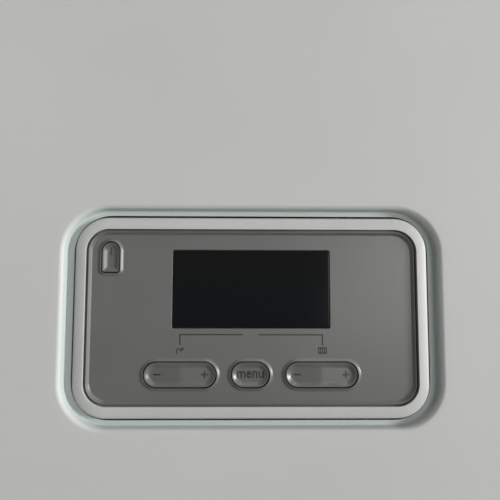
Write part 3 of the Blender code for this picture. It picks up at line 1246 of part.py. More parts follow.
def make_pressure_sensor():
    centre = (RETURN_X, 0, BRANCH_Z)
    seat = SENSOR_SEAT_Y
    end = seat - SENSOR_BODY_LENGTH
    small = SENSOR_BODY_RADIUS * 0.6
    profile = [(0, seat), (small, seat), (small, seat - SENSOR_BODY_LENGTH / 4)]
    profile += [(SENSOR_BODY_RADIUS, seat - SENSOR_BODY_LENGTH / 4)]
    profile += [(SENSOR_BODY_RADIUS, end + SENSOR_BODY_LENGTH / 4), (small, end + SENSOR_BODY_LENGTH / 4)]
    profile += [(small, end), (0, end)]
    return finish(turned("pressure_sensor", profile, centre, "y", 16), "stainless steel")


# Electrics


def make_electrical_plate():
    """A sheet in front of the expansion vessel, with a flange back to the back plate and a clip rail."""
    back = -BACK_SHEET - SEAT_GAP
    outline = [(PLATE_LEFT, PLATE_FRONT), (PLATE_RIGHT, PLATE_FRONT), (PLATE_RIGHT, back)]
    outline += [(PLATE_RIGHT - PLATE_SHEET, back), (PLATE_RIGHT - PLATE_SHEET, PLATE_Y)]
    outline.append((PLATE_LEFT, PLATE_Y))
    plate = prism("electrical_plate", outline, PLATE_BOTTOM, PLATE_TOP, "z")
    half = RAIL_STRIP / 2
    reach = CONTACTOR_PITCH * CONTACTORS / 2
    fuse(
        plate,
        block(
            "rail",
            (PLATE_MIDDLE - reach, PLATE_MIDDLE + reach),
            (PLATE_FRONT - RAIL_DEPTH, PLATE_FRONT + FUSE_DEPTH),
            (CONTACTOR_Z - half, CONTACTOR_Z + half),
        ),
    )
    for x, z in board_posts():
        reach = (PLATE_FRONT - BOARD_POST, PLATE_FRONT + FUSE_DEPTH)
        fuse(plate, rod("post", BOARD_POST_RADIUS, *reach, (x, 0, z), "y", 10))
    return finish(plate, "zinc steel")


def board_posts():
    wide = POWER_BOARD_WIDTH / 2 - 2 * BOARD_POST_RADIUS
    high = POWER_BOARD_HEIGHT / 2 - 2 * BOARD_POST_RADIUS
    return [(PLATE_MIDDLE + a * wide, POWER_BOARD_Z + b * high) for a in (-1, 1) for b in (-1, 1)]


def stepped(depth, height, z, steps):
    """A modular device's outline from the side, with its front drawn in by steps."""
    rear = PLATE_FRONT - RAIL_DEPTH - SEAT_GAP
    half = height / 2
    lower = [(rear - depth * reach, z - half * share) for share, reach in steps]
    return [(rear, z - half)] + lower + [(y, 2 * z - low) for y, low in lower[::-1]] + [(rear, z + half)]


CONTACTOR_SHARES = [(1.0, 0.55), (0.62, 0.55), (0.62, 0.85), (0.45, 0.85), (0.45, 1.0)]


def make_contactors():
    first = PLATE_MIDDLE - CONTACTOR_PITCH * (CONTACTORS - 1) / 2
    outline = stepped(CONTACTOR_DEPTH, CONTACTOR_HEIGHT, CONTACTOR_Z, CONTACTOR_SHARES)
    for turn in range(CONTACTORS):
        x = first + turn * CONTACTOR_PITCH
        half = CONTACTOR_WIDTH / 2
        piece = prism(f"contactor_{turn + 1}", outline, x - half, x + half, "x")
        finish(piece, "light plastic")


# Parts on the power board, as shares of its half sizes and of its post height
POWER_PART_SHARES = [
    (-0.70, 0.45, 0.16, 0.30, 2.4),
    (-0.30, 0.45, 0.16, 0.30, 2.4),
    (0.10, 0.45, 0.16, 0.30, 2.4),
    (0.62, 0.40, 0.26, 0.38, 3.6),
    (0.55, -0.45, 0.22, 0.14, 1.6),
    (-0.10, -0.30, 0.18, 0.18, 0.6),
    (-0.70, -0.40, 0.12, 0.34, 1.8),
]


def make_power_board():
    half_wide, half_high = POWER_BOARD_WIDTH / 2, POWER_BOARD_HEIGHT / 2
    rear = PLATE_FRONT - BOARD_POST - SEAT_GAP
    front = rear - BOARD_THICK
    x_range = (PLATE_MIDDLE - half_wide, PLATE_MIDDLE + half_wide)
    board = block("power_board", x_range, (front, rear), (POWER_BOARD_BOTTOM, POWER_BOARD_TOP))
    for share_x, share_z, wide, high, tall in POWER_PART_SHARES:
        x, z = PLATE_MIDDLE + share_x * half_wide, POWER_BOARD_Z + share_z * half_high
        x_range = (x - wide * half_wide, x + wide * half_wide)
        z_range = (z - high * half_high, z + high * half_high)
        fuse(board, block("device", x_range, (front - tall * BOARD_POST, front + FUSE_DEPTH), z_range))
    half = 2 * PANEL_CABLE_RADIUS
    x_range = (PANEL_CABLE_X - half, PANEL_CABLE_X + half)
    z_range = (POWER_BOARD_BOTTOM, POWER_BOARD_BOTTOM + 2 * half)
    fuse(board, block("socket", x_range, (CABLE_SEAT_Y - half, front + FUSE_DEPTH), z_range))
    return finish(board, "circuit board")


def make_terminal_block():
    rear = PLATE_FRONT - SEAT_GAP
    half = TERMINAL_HEIGHT / 2
    front, middle = rear - TERMINAL_DEPTH, rear - TERMINAL_DEPTH * 0.6
    outline = [(rear, TERMINAL_Z - half), (middle, TERMINAL_Z - half), (front, TERMINAL_Z - half / 2)]
    outline += [(front, TERMINAL_Z + half / 2), (middle, TERMINAL_Z + half), (rear, TERMINAL_Z + half)]
    left = PLATE_MIDDLE - TERMINAL_WIDTH / 2
    terminal = prism("terminal_block", outline, left, left + TERMINAL_WIDTH, "x")
    pitch = TERMINAL_WIDTH / POLES
    for pole in range(1, POLES):
        x = left + pole * pitch
        y_range = (rear - TERMINAL_DEPTH - CUT_OVERRUN, rear - TERMINAL_DEPTH * 0.7)
        z_range = (TERMINAL_Z - half - CUT_OVERRUN, TERMINAL_Z + half + CUT_OVERRUN)
        cut(terminal, block("slot", (x - pitch * 0.04, x + pitch * 0.04), y_range, z_range))
    return finish(terminal, "light plastic")


def make_cable_gland():
    """The supply cable's gland in the bottom plate, open down its middle."""
    centre = (GLAND_X, GLAND_Y, 0)
    bottom = -HALF_HEIGHT
    low, high = bottom - GLAND_BELOW, bottom + SHEET + GLAND_ABOVE
    gland = turned(
        "cable_gland",
        [
            (GLAND_BORE, low),
            (GLAND_RADIUS * 0.85, low),
            (GLAND_RADIUS, low + GLAND_BELOW / 4),
            (GLAND_RADIUS, high),
            (GLAND_BORE, high),
        ],
        centre,
    )
    below, above = bottom - SEAT_GAP, bottom + SHEET + SEAT_GAP
    for start, end in ((below - GLAND_BELOW / 3, below), (above, above + GLAND_ABOVE / 2)):
        nut = hexagon("nut", GLAND_NUT, start, end, centre)
        reach = (start - CUT_OVERRUN, end + CUT_OVERRUN)
        cut(nut, rod("nut bore", (GLAND_BORE + GLAND_RADIUS) / 2, *reach, centre))
        fuse(gland, nut)
    return finish(gland, "light plastic")


def make_cables():
    """The heater harness and the panel's cable, both held from end to end."""
    first_x = PLATE_MIDDLE - CONTACTOR_PITCH
    contactor_top = CONTACTOR_Z + CONTACTOR_HEIGHT / 2
    cover_top = HEATER_FLANGE_TOP + 2 * SEAT_GAP + COVER_CAP_HEIGHT
    level = max(contactor_top, cover_top) + HARNESS_BEND + HARNESS_RADIUS
    corners = [(first_x, PIPE_Y, contactor_top + SEAT_GAP), (first_x, PIPE_Y, level)]
    corners += [(JACKET_X, PIPE_Y, level), (JACKET_X, PIPE_Y, cover_top)]
    harness = tube("heater_harness", bent(corners, HARNESS_BEND), HARNESS_RADIUS, sides=10)
    finish(harness, "rubber")
    x = PANEL_CABLE_X
    rise_y = (CABLE_SEAT_Y + BRACKET_FRONT) / 2
    turn_z = POWER_BOARD_BOTTOM - 2 * PANEL_CABLE_BEND
    corners = [(x, SOCKET_REAR + SEAT_GAP, PANEL_CABLE_Z), (x, rise_y, PANEL_CABLE_Z)]
    corners += [(x, rise_y, turn_z), (x, CABLE_SEAT_Y, turn_z)]
    corners.append((x, CABLE_SEAT_Y, POWER_BOARD_BOTTOM - SEAT_GAP))
    cable = tube("panel_cable", bent(corners, PANEL_CABLE_BEND), PANEL_CABLE_RADIUS, sides=8)
    finish(cable, "rubber")


def main():
    for left_over in list(bpy.data.objects):
        bpy.data.objects.remove(left_over)
    make_front_cover()
    make_side_panel("side_panel_left", -1)
    make_side_panel("side_panel_right", 1)
    finish(flat_sheet("top_plate", 1), "painted steel")
    make_bottom_plate()
    make_back_plate()
    make_wall_bracket()
    make_cover_screws()
    make_panel_bezel()
    make_panel_face()
    make_keys()
    make_display()
    make_panel_board()
    make_panel_housing()
    make_panel_bracket()
    make_expansion_vessel()
    make_exchanger()
    make_heater()
    make_flange_fittings()
    make_connections()
    make_pipes()
    make_pump()
    make_safety_valve()
    make_filling_cock()
    make_pressure_sensor()
    make_electrical_plate()
    make_contactors()
    make_power_board()
    make_terminal_block()
    make_cable_gland()
    make_cables()


main()
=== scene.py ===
# %% [markdown]
# # A wall-hung electric boiler, dressed for its photograph
#
# The boiler's solids are already made and measured, and this file is a lesson in dressing them. It loads
# them as a fixed frame, lays finer shapes over those that are seen closely, and gives every surface the
# finish of the real one. The frame is in metres, with +Z up and the front facing -Y. A maker measures in
# millimetres, so shapes are drawn in those, and MM turns them to metres once a piece is done.

# %% Tools and frame
import json
from math import cos, degrees, pi, radians, sin, tan

import bmesh
import bpy
from mathutils import Matrix, Vector
from mathutils.geometry import delaunay_2d_cdt


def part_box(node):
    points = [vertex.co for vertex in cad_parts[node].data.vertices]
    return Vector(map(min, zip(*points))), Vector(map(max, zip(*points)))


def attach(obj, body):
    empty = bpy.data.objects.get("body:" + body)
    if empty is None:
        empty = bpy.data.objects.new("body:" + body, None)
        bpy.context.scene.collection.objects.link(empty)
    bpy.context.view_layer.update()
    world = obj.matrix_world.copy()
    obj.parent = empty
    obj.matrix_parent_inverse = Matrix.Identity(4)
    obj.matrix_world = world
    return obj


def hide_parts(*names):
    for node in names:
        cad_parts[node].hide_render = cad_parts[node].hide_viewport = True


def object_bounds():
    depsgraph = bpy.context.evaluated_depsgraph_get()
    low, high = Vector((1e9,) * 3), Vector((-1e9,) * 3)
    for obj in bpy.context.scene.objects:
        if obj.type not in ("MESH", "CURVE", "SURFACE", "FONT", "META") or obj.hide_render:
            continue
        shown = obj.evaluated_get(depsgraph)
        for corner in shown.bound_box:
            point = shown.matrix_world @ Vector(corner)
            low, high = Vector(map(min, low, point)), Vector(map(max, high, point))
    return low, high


MM = 0.001
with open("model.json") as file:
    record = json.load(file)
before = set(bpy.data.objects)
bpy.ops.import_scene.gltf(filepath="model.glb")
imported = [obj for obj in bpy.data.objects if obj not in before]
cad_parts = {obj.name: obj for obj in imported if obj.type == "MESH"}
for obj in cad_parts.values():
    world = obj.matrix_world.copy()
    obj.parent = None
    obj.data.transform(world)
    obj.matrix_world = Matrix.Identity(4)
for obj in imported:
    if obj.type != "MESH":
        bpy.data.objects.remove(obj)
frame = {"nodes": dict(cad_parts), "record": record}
cad_low, cad_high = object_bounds()

# %% [markdown]
# ## Where things are
#
# Each solid's box gives its place, so that every new piece lands where the solid is. The panel's middle
# comes from the bezel's box, and the front plane from the cover's. From here on a place on the panel is
# written as millimetres right of that middle and above it, the way one would measure it with a ruler.

# %% Places
cover_low, cover_high = (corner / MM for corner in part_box("front_cover"))
bezel_low, bezel_high = (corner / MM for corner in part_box("panel_bezel"))
FRONT = cover_low.y
PANEL_X = (bezel_low.x + bezel_high.x) / 2
PANEL_Z = (bezel_low.z + bezel_high.z) / 2
print(f"front plane y {FRONT:.1f}, panel middle x {PANEL_X:.2f} z {PANEL_Z:.2f} mm")

# %% [markdown]
# ## The camera
#
# The photograph is taken by hand from about a quarter of a metre, a little left of the panel and a little
# below it, looking slightly up. Straight edges that run together towards one side give that away. A lens of
# 38.6 mm on a 36 mm sensor sees 50 degrees, like a telephone held close.

# %% Camera
CAMERA_PLACE = Vector((-0.00514, -0.570, -0.145625))
CAMERA_AIM = Vector((-0.00095, -0.310, -0.12257))
CAMERA_ROLL = radians(0.11)
CAMERA_LENS = 38.6


def stand(name, data):
    """Puts an object with this data in the scene."""
    made = bpy.data.objects.new(name, data)
    bpy.context.scene.collection.objects.link(made)
    return made


camera = stand("camera", bpy.data.cameras.new("camera"))
bpy.context.scene.camera = camera
camera.data.lens = CAMERA_LENS
camera.data.clip_start = 0.01
camera.location = CAMERA_PLACE
gaze = (CAMERA_AIM - CAMERA_PLACE).to_track_quat("-Z", "Y").to_matrix()
camera.rotation_euler = (gaze @ Matrix.Rotation(CAMERA_ROLL, 3, "Z")).to_euler()
print(f"camera {(CAMERA_AIM - CAMERA_PLACE).length:.3f} m from what it looks at")

# %% [markdown]
# ## Colours and nodes
#
# Paint makers write a colour as a hex code in sRGB, but a renderer adds up light in linear values, so one
# function turns the one into the other. A second adds a node: it sets what the node is told to be and links
# the sockets it is fed by, so that each finish below reads as a short recipe. A third starts a finish for
# one of the record's material slots, and the first finish of a slot also dresses the solids that stay.

# %% Colour and node helpers
FINISHES = {}


def linear(code):
    """The linear colour of an sRGB hex code."""
    channels = [int(code[place : place + 2], 16) / 255 for place in (1, 3, 5)]
    curve = [c / 12.92 if c <= 0.04045 else ((c + 0.055) / 1.055) ** 2.4 for c in channels]
    return (*curve, 1)


def add(material, kind, settings=None, links=None):
    """Adds a node of a kind, or takes one that is there, sets it up and links its sockets."""
    tree = material.node_tree
    node = tree.nodes.new("ShaderNode" + kind) if isinstance(kind, str) else kind
    for name, value in (settings or {}).items():
        if name == "stops":
            marks = node.color_ramp.elements
            for place, (position, code) in enumerate(value):
                mark = marks[place] if place < 2 else marks.new(position)
                mark.position, mark.color = position, linear(code)
        elif isinstance(name, str) and hasattr(node, name):
            setattr(node, name, value)
        else:
            node.inputs[name].default_value = value
    for name, source in (links or {}).items():
        socket = source.outputs[0] if isinstance(source, bpy.types.Node) else source
        tree.links.new(socket, node.inputs[name])
    return node


def new_finish(name, slot=None):
    """A material by its common name, its Principled shader, and the places on the piece in metres."""
    material = bpy.data.materials.new(name)
    material.use_nodes = True
    FINISHES.setdefault(slot, material)
    shader = material.node_tree.nodes["Principled BSDF"]
    return material, shader, add(material, "TexCoord").outputs["Object"]


print("grey 808080 is", round(linear("#808080")[0], 3), "in linear light")

# %% [markdown]
# ## Baked polyester on sheet steel
#
# The casing is sheet steel, sprayed with polyester powder and baked. The powder melts and flows, but not
# quite flat: it keeps a faint orange peel, about 1.3 mm from hump to hump, which breaks up a reflection
# and gives the satin look. Large panels also vary very slightly in tone. In the recess round the panel a
# cooler grey is painted on, a painted reflection of the greenish room its slopes mirror. Polyester's IOR is
# about 1.5.

# %% Polyester coat
def peel_bump(material, place, pitch, height):
    """A bump of soft humps, one for each pitch, as high as the height. Both are in millimetres."""
    humps = add(material, "TexNoise", {"Scale": 1 / (pitch * MM), "Detail": 1.0}, {"Vector": place})
    return add(material, "Bump", {"Strength": 1.0, "Distance": height * MM}, {"Height": humps})


coat, shader, place = new_finish("baked_polyester_coat", "casing_paint")
cloud = add(coat, "TexNoise", {"Scale": 1 / 0.12, "Detail": 2.0}, {"Vector": place})
tone = add(coat, "ValToRGB", {"stops": [(0.35, "#B1B2B0"), (0.65, "#B4B5B3")]}, {"Fac": cloud})
# Painted reflection: deeper than the front plane and near the panel, the colour is mixed towards a cooler,
# greenish grey.
depth = add(coat, "SeparateXYZ", links={"Vector": place}).outputs["Y"]
drawn = {"From Min": (FRONT + 0.3) * MM, "From Max": (FRONT + 2.0) * MM}
painted_tint_depth = add(coat, "MapRange", drawn, {"Value": depth})
middle = (PANEL_X * MM, FRONT * MM, PANEL_Z * MM)
away = add(coat, "VectorMath", {"operation": "DISTANCE", 1: middle}, {"Vector": place})
near = add(coat, "MapRange", {"From Min": 0.122, "From Max": 0.114}, {"Value": away.outputs["Value"]})
painted_tint_mask = add(coat, "Math", {"operation": "MULTIPLY"}, {0: painted_tint_depth, 1: near})
painted_reflection_tint = add(coat, "MixRGB", {"Color2": linear("#B3BAB8")}, {"Fac": painted_tint_mask, "Color1": tone})
grip = {"From Min": 0.3, "From Max": 0.7, "To Min": 0.50, "To Max": 0.55}
satin = add(coat, "MapRange", grip, {"Value": cloud})
peel = peel_bump(coat, place, 1.3, 0.010)
add(coat, shader, {"IOR": 1.5}, {"Base Color": painted_reflection_tint, "Roughness": satin, "Normal": peel})
print(coat.name, "with humps 1.3 mm apart")

# %% [markdown]
# ## Moulded ABS
#
# Bezel, face and keys are ABS, injected into a steel mould. The mould is spark-eroded, so the plastic comes
# out with a fine, even grain that scatters a reflection a little. The real grain is about 0.05 mm, and it is
# drawn at 0.3 mm so that it shows. The pale bezel is filled with white pigment, and the face is a mid grey.
# IOR is 1.53 for ABS. Keys come from a finer mould. On the face the rim and the collars, which stand
# forward, are eroded more coarsely than the field, so depth drives the roughness there.

# %% ABS finishes
def moulded(name, slot, pale, deep, roughness, grain=0.3, relief=0.004, ior=1.53):
    """A moulded plastic: two close tones in soft clouds, and the mould's grain in millimetres."""
    material, shader, place = new_finish(name, slot)
    cloud = add(material, "TexNoise", {"Scale": 1 / 0.03, "Detail": 2.0}, {"Vector": place})
    tone = add(material, "ValToRGB", {"stops": [(0.3, deep), (0.7, pale)]}, {"Fac": cloud})
    bump = peel_bump(material, place, grain, relief)
    settings = {"Roughness": roughness, "IOR": ior}
    add(material, shader, settings, {"Base Color": tone, "Normal": bump})
    return material


pale_abs = moulded("moulded_pale_abs", "bezel_plastic", "#B0B1AF", "#ACADAB", 0.45)
grey_abs = moulded("moulded_grey_abs", "face_plastic", "#595957", "#565654", 0.31)
key_abs = moulded("moulded_key_abs", "key_plastic", "#535452", "#50514F", 0.34, 0.25, 0.002)
shader = grey_abs.node_tree.nodes["Principled BSDF"]
lift = add(grey_abs, "SeparateXYZ", links={"Vector": add(grey_abs, "TexCoord").outputs["Object"]})
slopes = {"From Min": (FRONT + 3.9) * MM, "From Max": (FRONT + 3.1) * MM, "To Min": 0.32, "To Max": 0.55}
rough = add(grey_abs, "MapRange", slopes, {"Value": lift.outputs["Y"]})
add(grey_abs, shader, links={"Roughness": rough})
print("moulded finishes:", pale_abs.name, grey_abs.name, key_abs.name)

# %% [markdown]
# ## Display window and printing ink
#
# The window is clear acrylic over a dark liquid-crystal cell, with an anti-reflection coat, so it looks
# nearly black and hardly mirrors the room. The coat is why the specular level is far below a bare
# plastic's. The marks are screen-printed in black ink, which lies on the plastic about 0.05 mm thick.

# %% Window and ink
window_glass, shader, place = new_finish("coated_acrylic_window", "display_lens")
height = add(window_glass, "SeparateXYZ", links={"Vector": place}).outputs["Z"]
downward = {"From Min": PANEL_Z * MM + 0.025, "From Max": PANEL_Z * MM - 0.006}
fade = add(window_glass, "MapRange", downward, {"Value": height})
tint = add(window_glass, "ValToRGB", {"stops": [(0.0, "#0B0C0B"), (1.0, "#090B10")]}, {"Fac": fade})
settings = {"Roughness": 0.12, "IOR": 1.49, "Specular IOR Level": 0.08}
add(window_glass, shader, settings, {"Base Color": tint})

ink, shader, place = new_finish("screen_printed_ink", "key_plastic")
dots = add(ink, "TexNoise", {"Scale": 1 / (0.25 * MM), "Detail": 1.0}, {"Vector": place})
tone = add(ink, "ValToRGB", {"stops": [(0.3, "#0C0C0C"), (0.7, "#171716")]}, {"Fac": dots})
add(ink, shader, {"Roughness": 0.5, "IOR": 1.5}, {"Base Color": tone})
print("window and ink ready")

# %% [markdown]
# ## Outlines and skins
#
# Almost everything on a sheet-metal front is a rounded rectangle that is drawn in step by step. So one
# function gives the points of such an outline, always as many and in the same order. A second
# stacks an outline at given insets and depths, a third lays a skin of faces from loop to loop, and a fourth
# fills a flat field that has openings in it: its triangulation keeps to the outlines it is given, and what
# lies inside an opening is left out. The last one makes a finished piece of what was drawn.

# %% Outline and skin helpers
def rounded(width, height, radius, centre=(0, 0), foot=None, steps=12, along=(0, 0)):
    """A rounded rectangle's points, anticlockwise from the right, with extra points along its level and
    upright sides. The foot is the lower corners' radius where it differs."""
    arcs = []
    for corner, (way_x, way_z) in enumerate(((1, 1), (-1, 1), (-1, -1), (1, -1))):
        turn = min(foot if foot is not None and way_z < 0 else radius, 0.499 * min(width, height))
        x = centre[0] + way_x * (width / 2 - turn)
        z = centre[1] + way_z * (height / 2 - turn)
        angles = [(corner + step / steps) * pi / 2 for step in range(steps + 1)]
        arcs.append([Vector((x + turn * cos(angle), z + turn * sin(angle))) for angle in angles])
    points = []
    for corner, turned_corner in enumerate(arcs):
        extra = along[corner % 2]
        after = arcs[(corner + 1) % 4][0]
        points += turned_corner
        points += [turned_corner[-1].lerp(after, (share + 1) / (extra + 1)) for share in range(extra)]
    return points


def at(outline, y):
    """An outline's points at a depth."""
    return [(x, y, z) for x, z in outline]


def stack(outline, line, plane=0.0):
    """The loops of an outline at each inset and depth of a line, with depth counted from a plane."""
    return [at(outline(inset), plane + depth) for inset, depth in line]


def skin(form, loops, closed=False, ends=False):
    """Lays faces between one loop of points and the next, closed round or with flat ends where told."""
    rows = [[form.verts.new(point) for point in loop] for loop in loops]
    for low, high in list(zip(rows, rows[1:])) + ([(rows[-1], rows[0])] if closed else []):
        for place, vertex in enumerate(low):
            after = (place + 1) % len(low)
            form.faces.new((vertex, low[after], high[after], high[place]))
    if ends:
        form.faces.new(rows[0])
        form.faces.new(rows[-1])
    return rows


# What a triangulation keeps: all that lies within the outlines, or that with the holes left out.
WITHIN = 1
WITHOUT_HOLES = 2
SAME_PLACE = 1e-5


def fill(form, *rims):
    """Fills the flat field between closed rims of vertices: the first is its edge, the rest openings."""
    corners = [vertex for rim in rims for vertex in rim]
    numbers = {vertex: number for number, vertex in enumerate(corners)}
    places = [vertex.co.xz for vertex in corners]
    rings = [[numbers[vertex] for vertex in rim] for rim in rims]
    _, _, triangles, origins, _, inside = delaunay_2d_cdt(places, [], rings, WITHIN, SAME_PLACE)
    for triangle, rims_round in zip(triangles, inside):
        if len(rims_round) == 1:
            form.faces.new([corners[origins[number][0]] for number in triangle])


def piece(name, form, finish, instead_of="", body="chassis", sharp=35):
    """Turns a form into an object that rides on a body, with its finish and the solid it stands for."""
    bmesh.ops.recalc_face_normals(form, faces=form.faces)
    if form.calc_volume(signed=True) < 0:
        bmesh.ops.reverse_faces(form, faces=form.faces)
    bmesh.ops.scale(form, vec=(MM, MM, MM), verts=form.verts)
    mesh = bpy.data.meshes.new(name)
    form.to_mesh(mesh)
    form.free()
    mesh.shade_smooth()
    mesh.set_sharp_from_angle(angle=radians(sharp))
    mesh.materials.append(finish)
    made = stand(name, mesh)
    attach(made, body)
    if instead_of:
        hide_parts(instead_of)
    return made


print("helpers ready")

# %% [markdown]
# ## The front cover
#
# The cover is one drawn pan of 1.2 mm steel. Round the panel the sheet is pressed into a recess: it rolls
# over an edge of 2.4 mm radius, drops at 82 degrees and turns through a tighter radius to a flat floor,
# where it is cut out for the bezel. The solid has this line in a few steps, and here it gets many, because
# the camera looks straight at it. A guard line beside each bend keeps smooth shading off the flat.

# %% Front cover
SHEET = 1.2
BEND = 5.0
COVER_CORNER = 8.0
RECESS = (187.4, 109.8, 23.8)
RECESS_EDGE = 2.4
RECESS_FOOT = 0.5
RECESS_WALL = 3.3
RECESS_SLOPE = radians(82)
RECESS_RUN = (6.75, 5.7)
OPENING_PLAY = 0.65
GUARD = 3.0
FINE = 14


def arc(steps):
    """The angles of a quarter turn in even steps."""
    return [step / steps * pi / 2 for step in range(steps + 1)]


def roll(radius, steps=FINE):
    """Inset and depth round an edge of this radius, from a piece's side to its front."""
    return [(radius * (1 - cos(a)), radius * (1 - sin(a))) for a in arc(steps)]


def cover_line(inset):
    width, height = cover_high.x - cover_low.x, cover_high.z - cover_low.z
    return rounded(width - 2 * inset, height - 2 * inset, COVER_CORNER - inset)


def recess_line(inset):
    run = sum(RECESS_RUN) / 2
    wide, high = (2 * inset * side / run for side in RECESS_RUN)
    return rounded(RECESS[0] - wide, RECESS[1] - high, RECESS[2] - inset, (PANEL_X, PANEL_Z))


def recess_drop(behind):
    """Inset and depth over the edge, down the wall and round the foot, this far behind the front skin."""
    reach = RECESS_EDGE + RECESS_FOOT
    across = reach * sin(RECESS_SLOPE) + RECESS_WALL * cos(RECESS_SLOPE)
    down = RECESS_EDGE - reach * cos(RECESS_SLOPE) + RECESS_WALL * sin(RECESS_SLOPE)
    turns = [RECESS_SLOPE * step / FINE for step in range(FINE + 1)]
    edge, foot = RECESS_EDGE - behind, RECESS_FOOT + behind
    line = [(-GUARD, behind)]
    line += [(edge * sin(turn), RECESS_EDGE - edge * cos(turn)) for turn in turns]
    line += [(across - foot * sin(turn), down + foot * cos(turn)) for turn in turns[::-1]]
    return line + [(across + GUARD / 4, down + foot), (sum(RECESS_RUN) / 2 - OPENING_PLAY, down + foot)]


form = bmesh.new()
rear = cover_high.y - FRONT
loops = stack(cover_line, [(0, rear), *roll(BEND), (BEND + GUARD, 0)], FRONT)
loops += stack(recess_line, recess_drop(0.0) + recess_drop(SHEET)[::-1], FRONT)
inside = [(SHEET + inset, SHEET + depth) for inset, depth in roll(BEND - SHEET)[::-1]]
loops += stack(cover_line, [*inside, (SHEET, rear)], FRONT)
skin(form, loops, closed=True)
cover = piece("cover_sheet", form, coat, "front_cover", "cover")
print(f"cover sheet {len(cover.data.polygons)} faces")

# %% [markdown]
# ## The bezel
#
# A moulded frame that drops into the recess. Its face is gently domed: it leans 3 degrees near the inner
# edge and 18 near the outer one, where a radius of 1.5 mm takes it round to the side. The dome is what
# draws the long soft highlight on the right. The lean is added up step by step along the band.

# %% Bezel
BEZEL = (172.7, 97.2, 16.2)
BAND = (5.3, 5.8)
CREST = FRONT + 1.7
BEZEL_ROUND = 1.5
BEZEL_LIP = 0.1
BEZEL_THICK = 2.6
BEZEL_SKIRT = 1.8
LEAN = (radians(3), radians(18))


def bezel_line(inset):
    high = inset * BAND[1] / BAND[0]
    size = (BEZEL[0] - 2 * inset, BEZEL[1] - 2 * high, BEZEL[2] - inset)
    return rounded(*size, (PANEL_X, PANEL_Z), steps=FINE)


def bezel_dome():
    """Inset and depth from the bezel's side over its domed face to its inner edge."""
    turns = [(pi / 2 - LEAN[1]) * step / FINE for step in range(FINE + 1)]
    line = [(BEZEL_ROUND * (1 - cos(turn)), BEZEL_ROUND * (1 - sin(turn))) for turn in turns]
    inset, depth = line[-1]
    stride = (BAND[0] - BEZEL_LIP - inset) / FINE
    for step in range(FINE):
        depth -= stride * tan(LEAN[1] + (LEAN[0] - LEAN[1]) * (step + 0.5) / FINE)
        inset += stride
        line.append((inset, depth))
    line.insert(-1, (inset - BEZEL_LIP / 2, depth))
    line += [(BAND[0] - BEZEL_LIP * (1 - sin(a)), depth + BEZEL_LIP * (1 - cos(a))) for a in arc(6)[1:]]
    return [(inset, place - depth) for inset, place in line]


form = bmesh.new()
rear = bezel_high.y - CREST
skirt = [(BAND[0], BEZEL_THICK), (BEZEL_SKIRT, BEZEL_THICK), (BEZEL_SKIRT, rear)]
skin(form, stack(bezel_line, [(0, rear), *bezel_dome(), *skirt], CREST), closed=True)
bezel = piece("bezel_moulding", form, pale_abs, "panel_bezel")
print(f"bezel crest y {CREST:.1f} mm, {len(bezel.data.polygons)} faces")

# %% [markdown]
# ## Where the keys and the window are
#
# A maker's drawing would give one table: each key's middle, its size and its shape. The rockers and the
# middle key are lozenges with full round ends. The power key is an arch, round at the top and nearly square
# at the foot. Everything about a key, from its hole to its finger dish, is its outline drawn in or out.

# %% Key table
KEYS = {
    "hot_water_rocker": (-34.7, -27.9, 34.9, 11.9, (30, 0)),
    "heating_rocker": (34.0, -27.9, 34.9, 11.9, (30, 0)),
    "menu_key": (-0.6, -27.9, 18.2, 11.9, (8, 0)),
    "power_key": (-69.2, 29.0, 8.5, 14.6, (4, 10)),
}
POWER_FOOT = 1.2
FACE = FRONT + 4.0
FACE_THICK = 2.2
KEY_GAP = 0.5
WINDOW = (-0.2, 13.5, 76.9, 38.0, 0.8)


def spot(x, z):
    """A place on the panel, so far right of its middle and above it."""
    return PANEL_X + x, PANEL_Z + z


def key_line(name, inset):
    """A key's outline, drawn in."""
    x, z, width, height, along = KEYS[name]
    width, height = width - 2 * inset, height - 2 * inset
    foot = max(POWER_FOOT - inset, 0.3) if name == "power_key" else None
    return rounded(width, height, min(width, height) / 2, spot(x, z), foot, 14, along)


def window_line(inset):
    x, z, width, height, radius = WINDOW
    return rounded(width - 2 * inset, height - 2 * inset, max(radius - inset, 0.1), spot(x, z), steps=6)


print(f"face plane y {FACE:.1f} mm,", len(KEYS), "keys")

# %% [markdown]
# ## The face
#
# The grey face is a shallow tray. Its rim stands up out of a dark groove inside the bezel, is flat for a
# fifth of a millimetre, then slopes down 1.5 mm to the field. Round each key stands a collar that falls
# evenly from its crest and runs out softly at its foot, so a finger finds the key. Both catch the light
# from the right: slopes that face it are bright, and those that face away are dark. The front is one flat
# field between rim, collars and window, and the back is another, so the tray is closed, with five holes.

# %% Face tray
GROOVE = 1.1
RIM_RISE = 1.5
RIM_RADIUS = 9.5
RIM_EDGE = 0.15
RIM_FLAT = 0.2
RIM_SLOPE = 1.25
RIM_STEPS = 10
COLLAR_WIDTH = 1.6
COLLAR_RISE = 0.9
COLLAR_ROUND = 0.08
COLLAR_FOOT = 0.35
COLLAR_STEPS = 12
LEDGE = 1.5
WINDOW_SINK = 1.5


def rim_line(inset):
    """The rim's outline, drawn in from the bezel's inner edge."""
    width, height = (whole - 2 * band - 2 * inset for whole, band in zip(BEZEL, BAND))
    return rounded(width, height, RIM_RADIUS - (inset - GROOVE) * 0.5, (PANEL_X, PANEL_Z), steps=FINE)


def ease(share):
    """An even S from 0 to 1."""
    share = min(max(share, 0.0), 1.0)
    return share * share * (3 - 2 * share)


def climb(share):
    """How far a collar has come down: an even fall from its crest, run out softly at its foot."""
    left = 1 - share
    risen = left * left / 2 / COLLAR_FOOT if left < COLLAR_FOOT else left - COLLAR_FOOT / 2
    return 1 - risen / (1 - COLLAR_FOOT / 2)


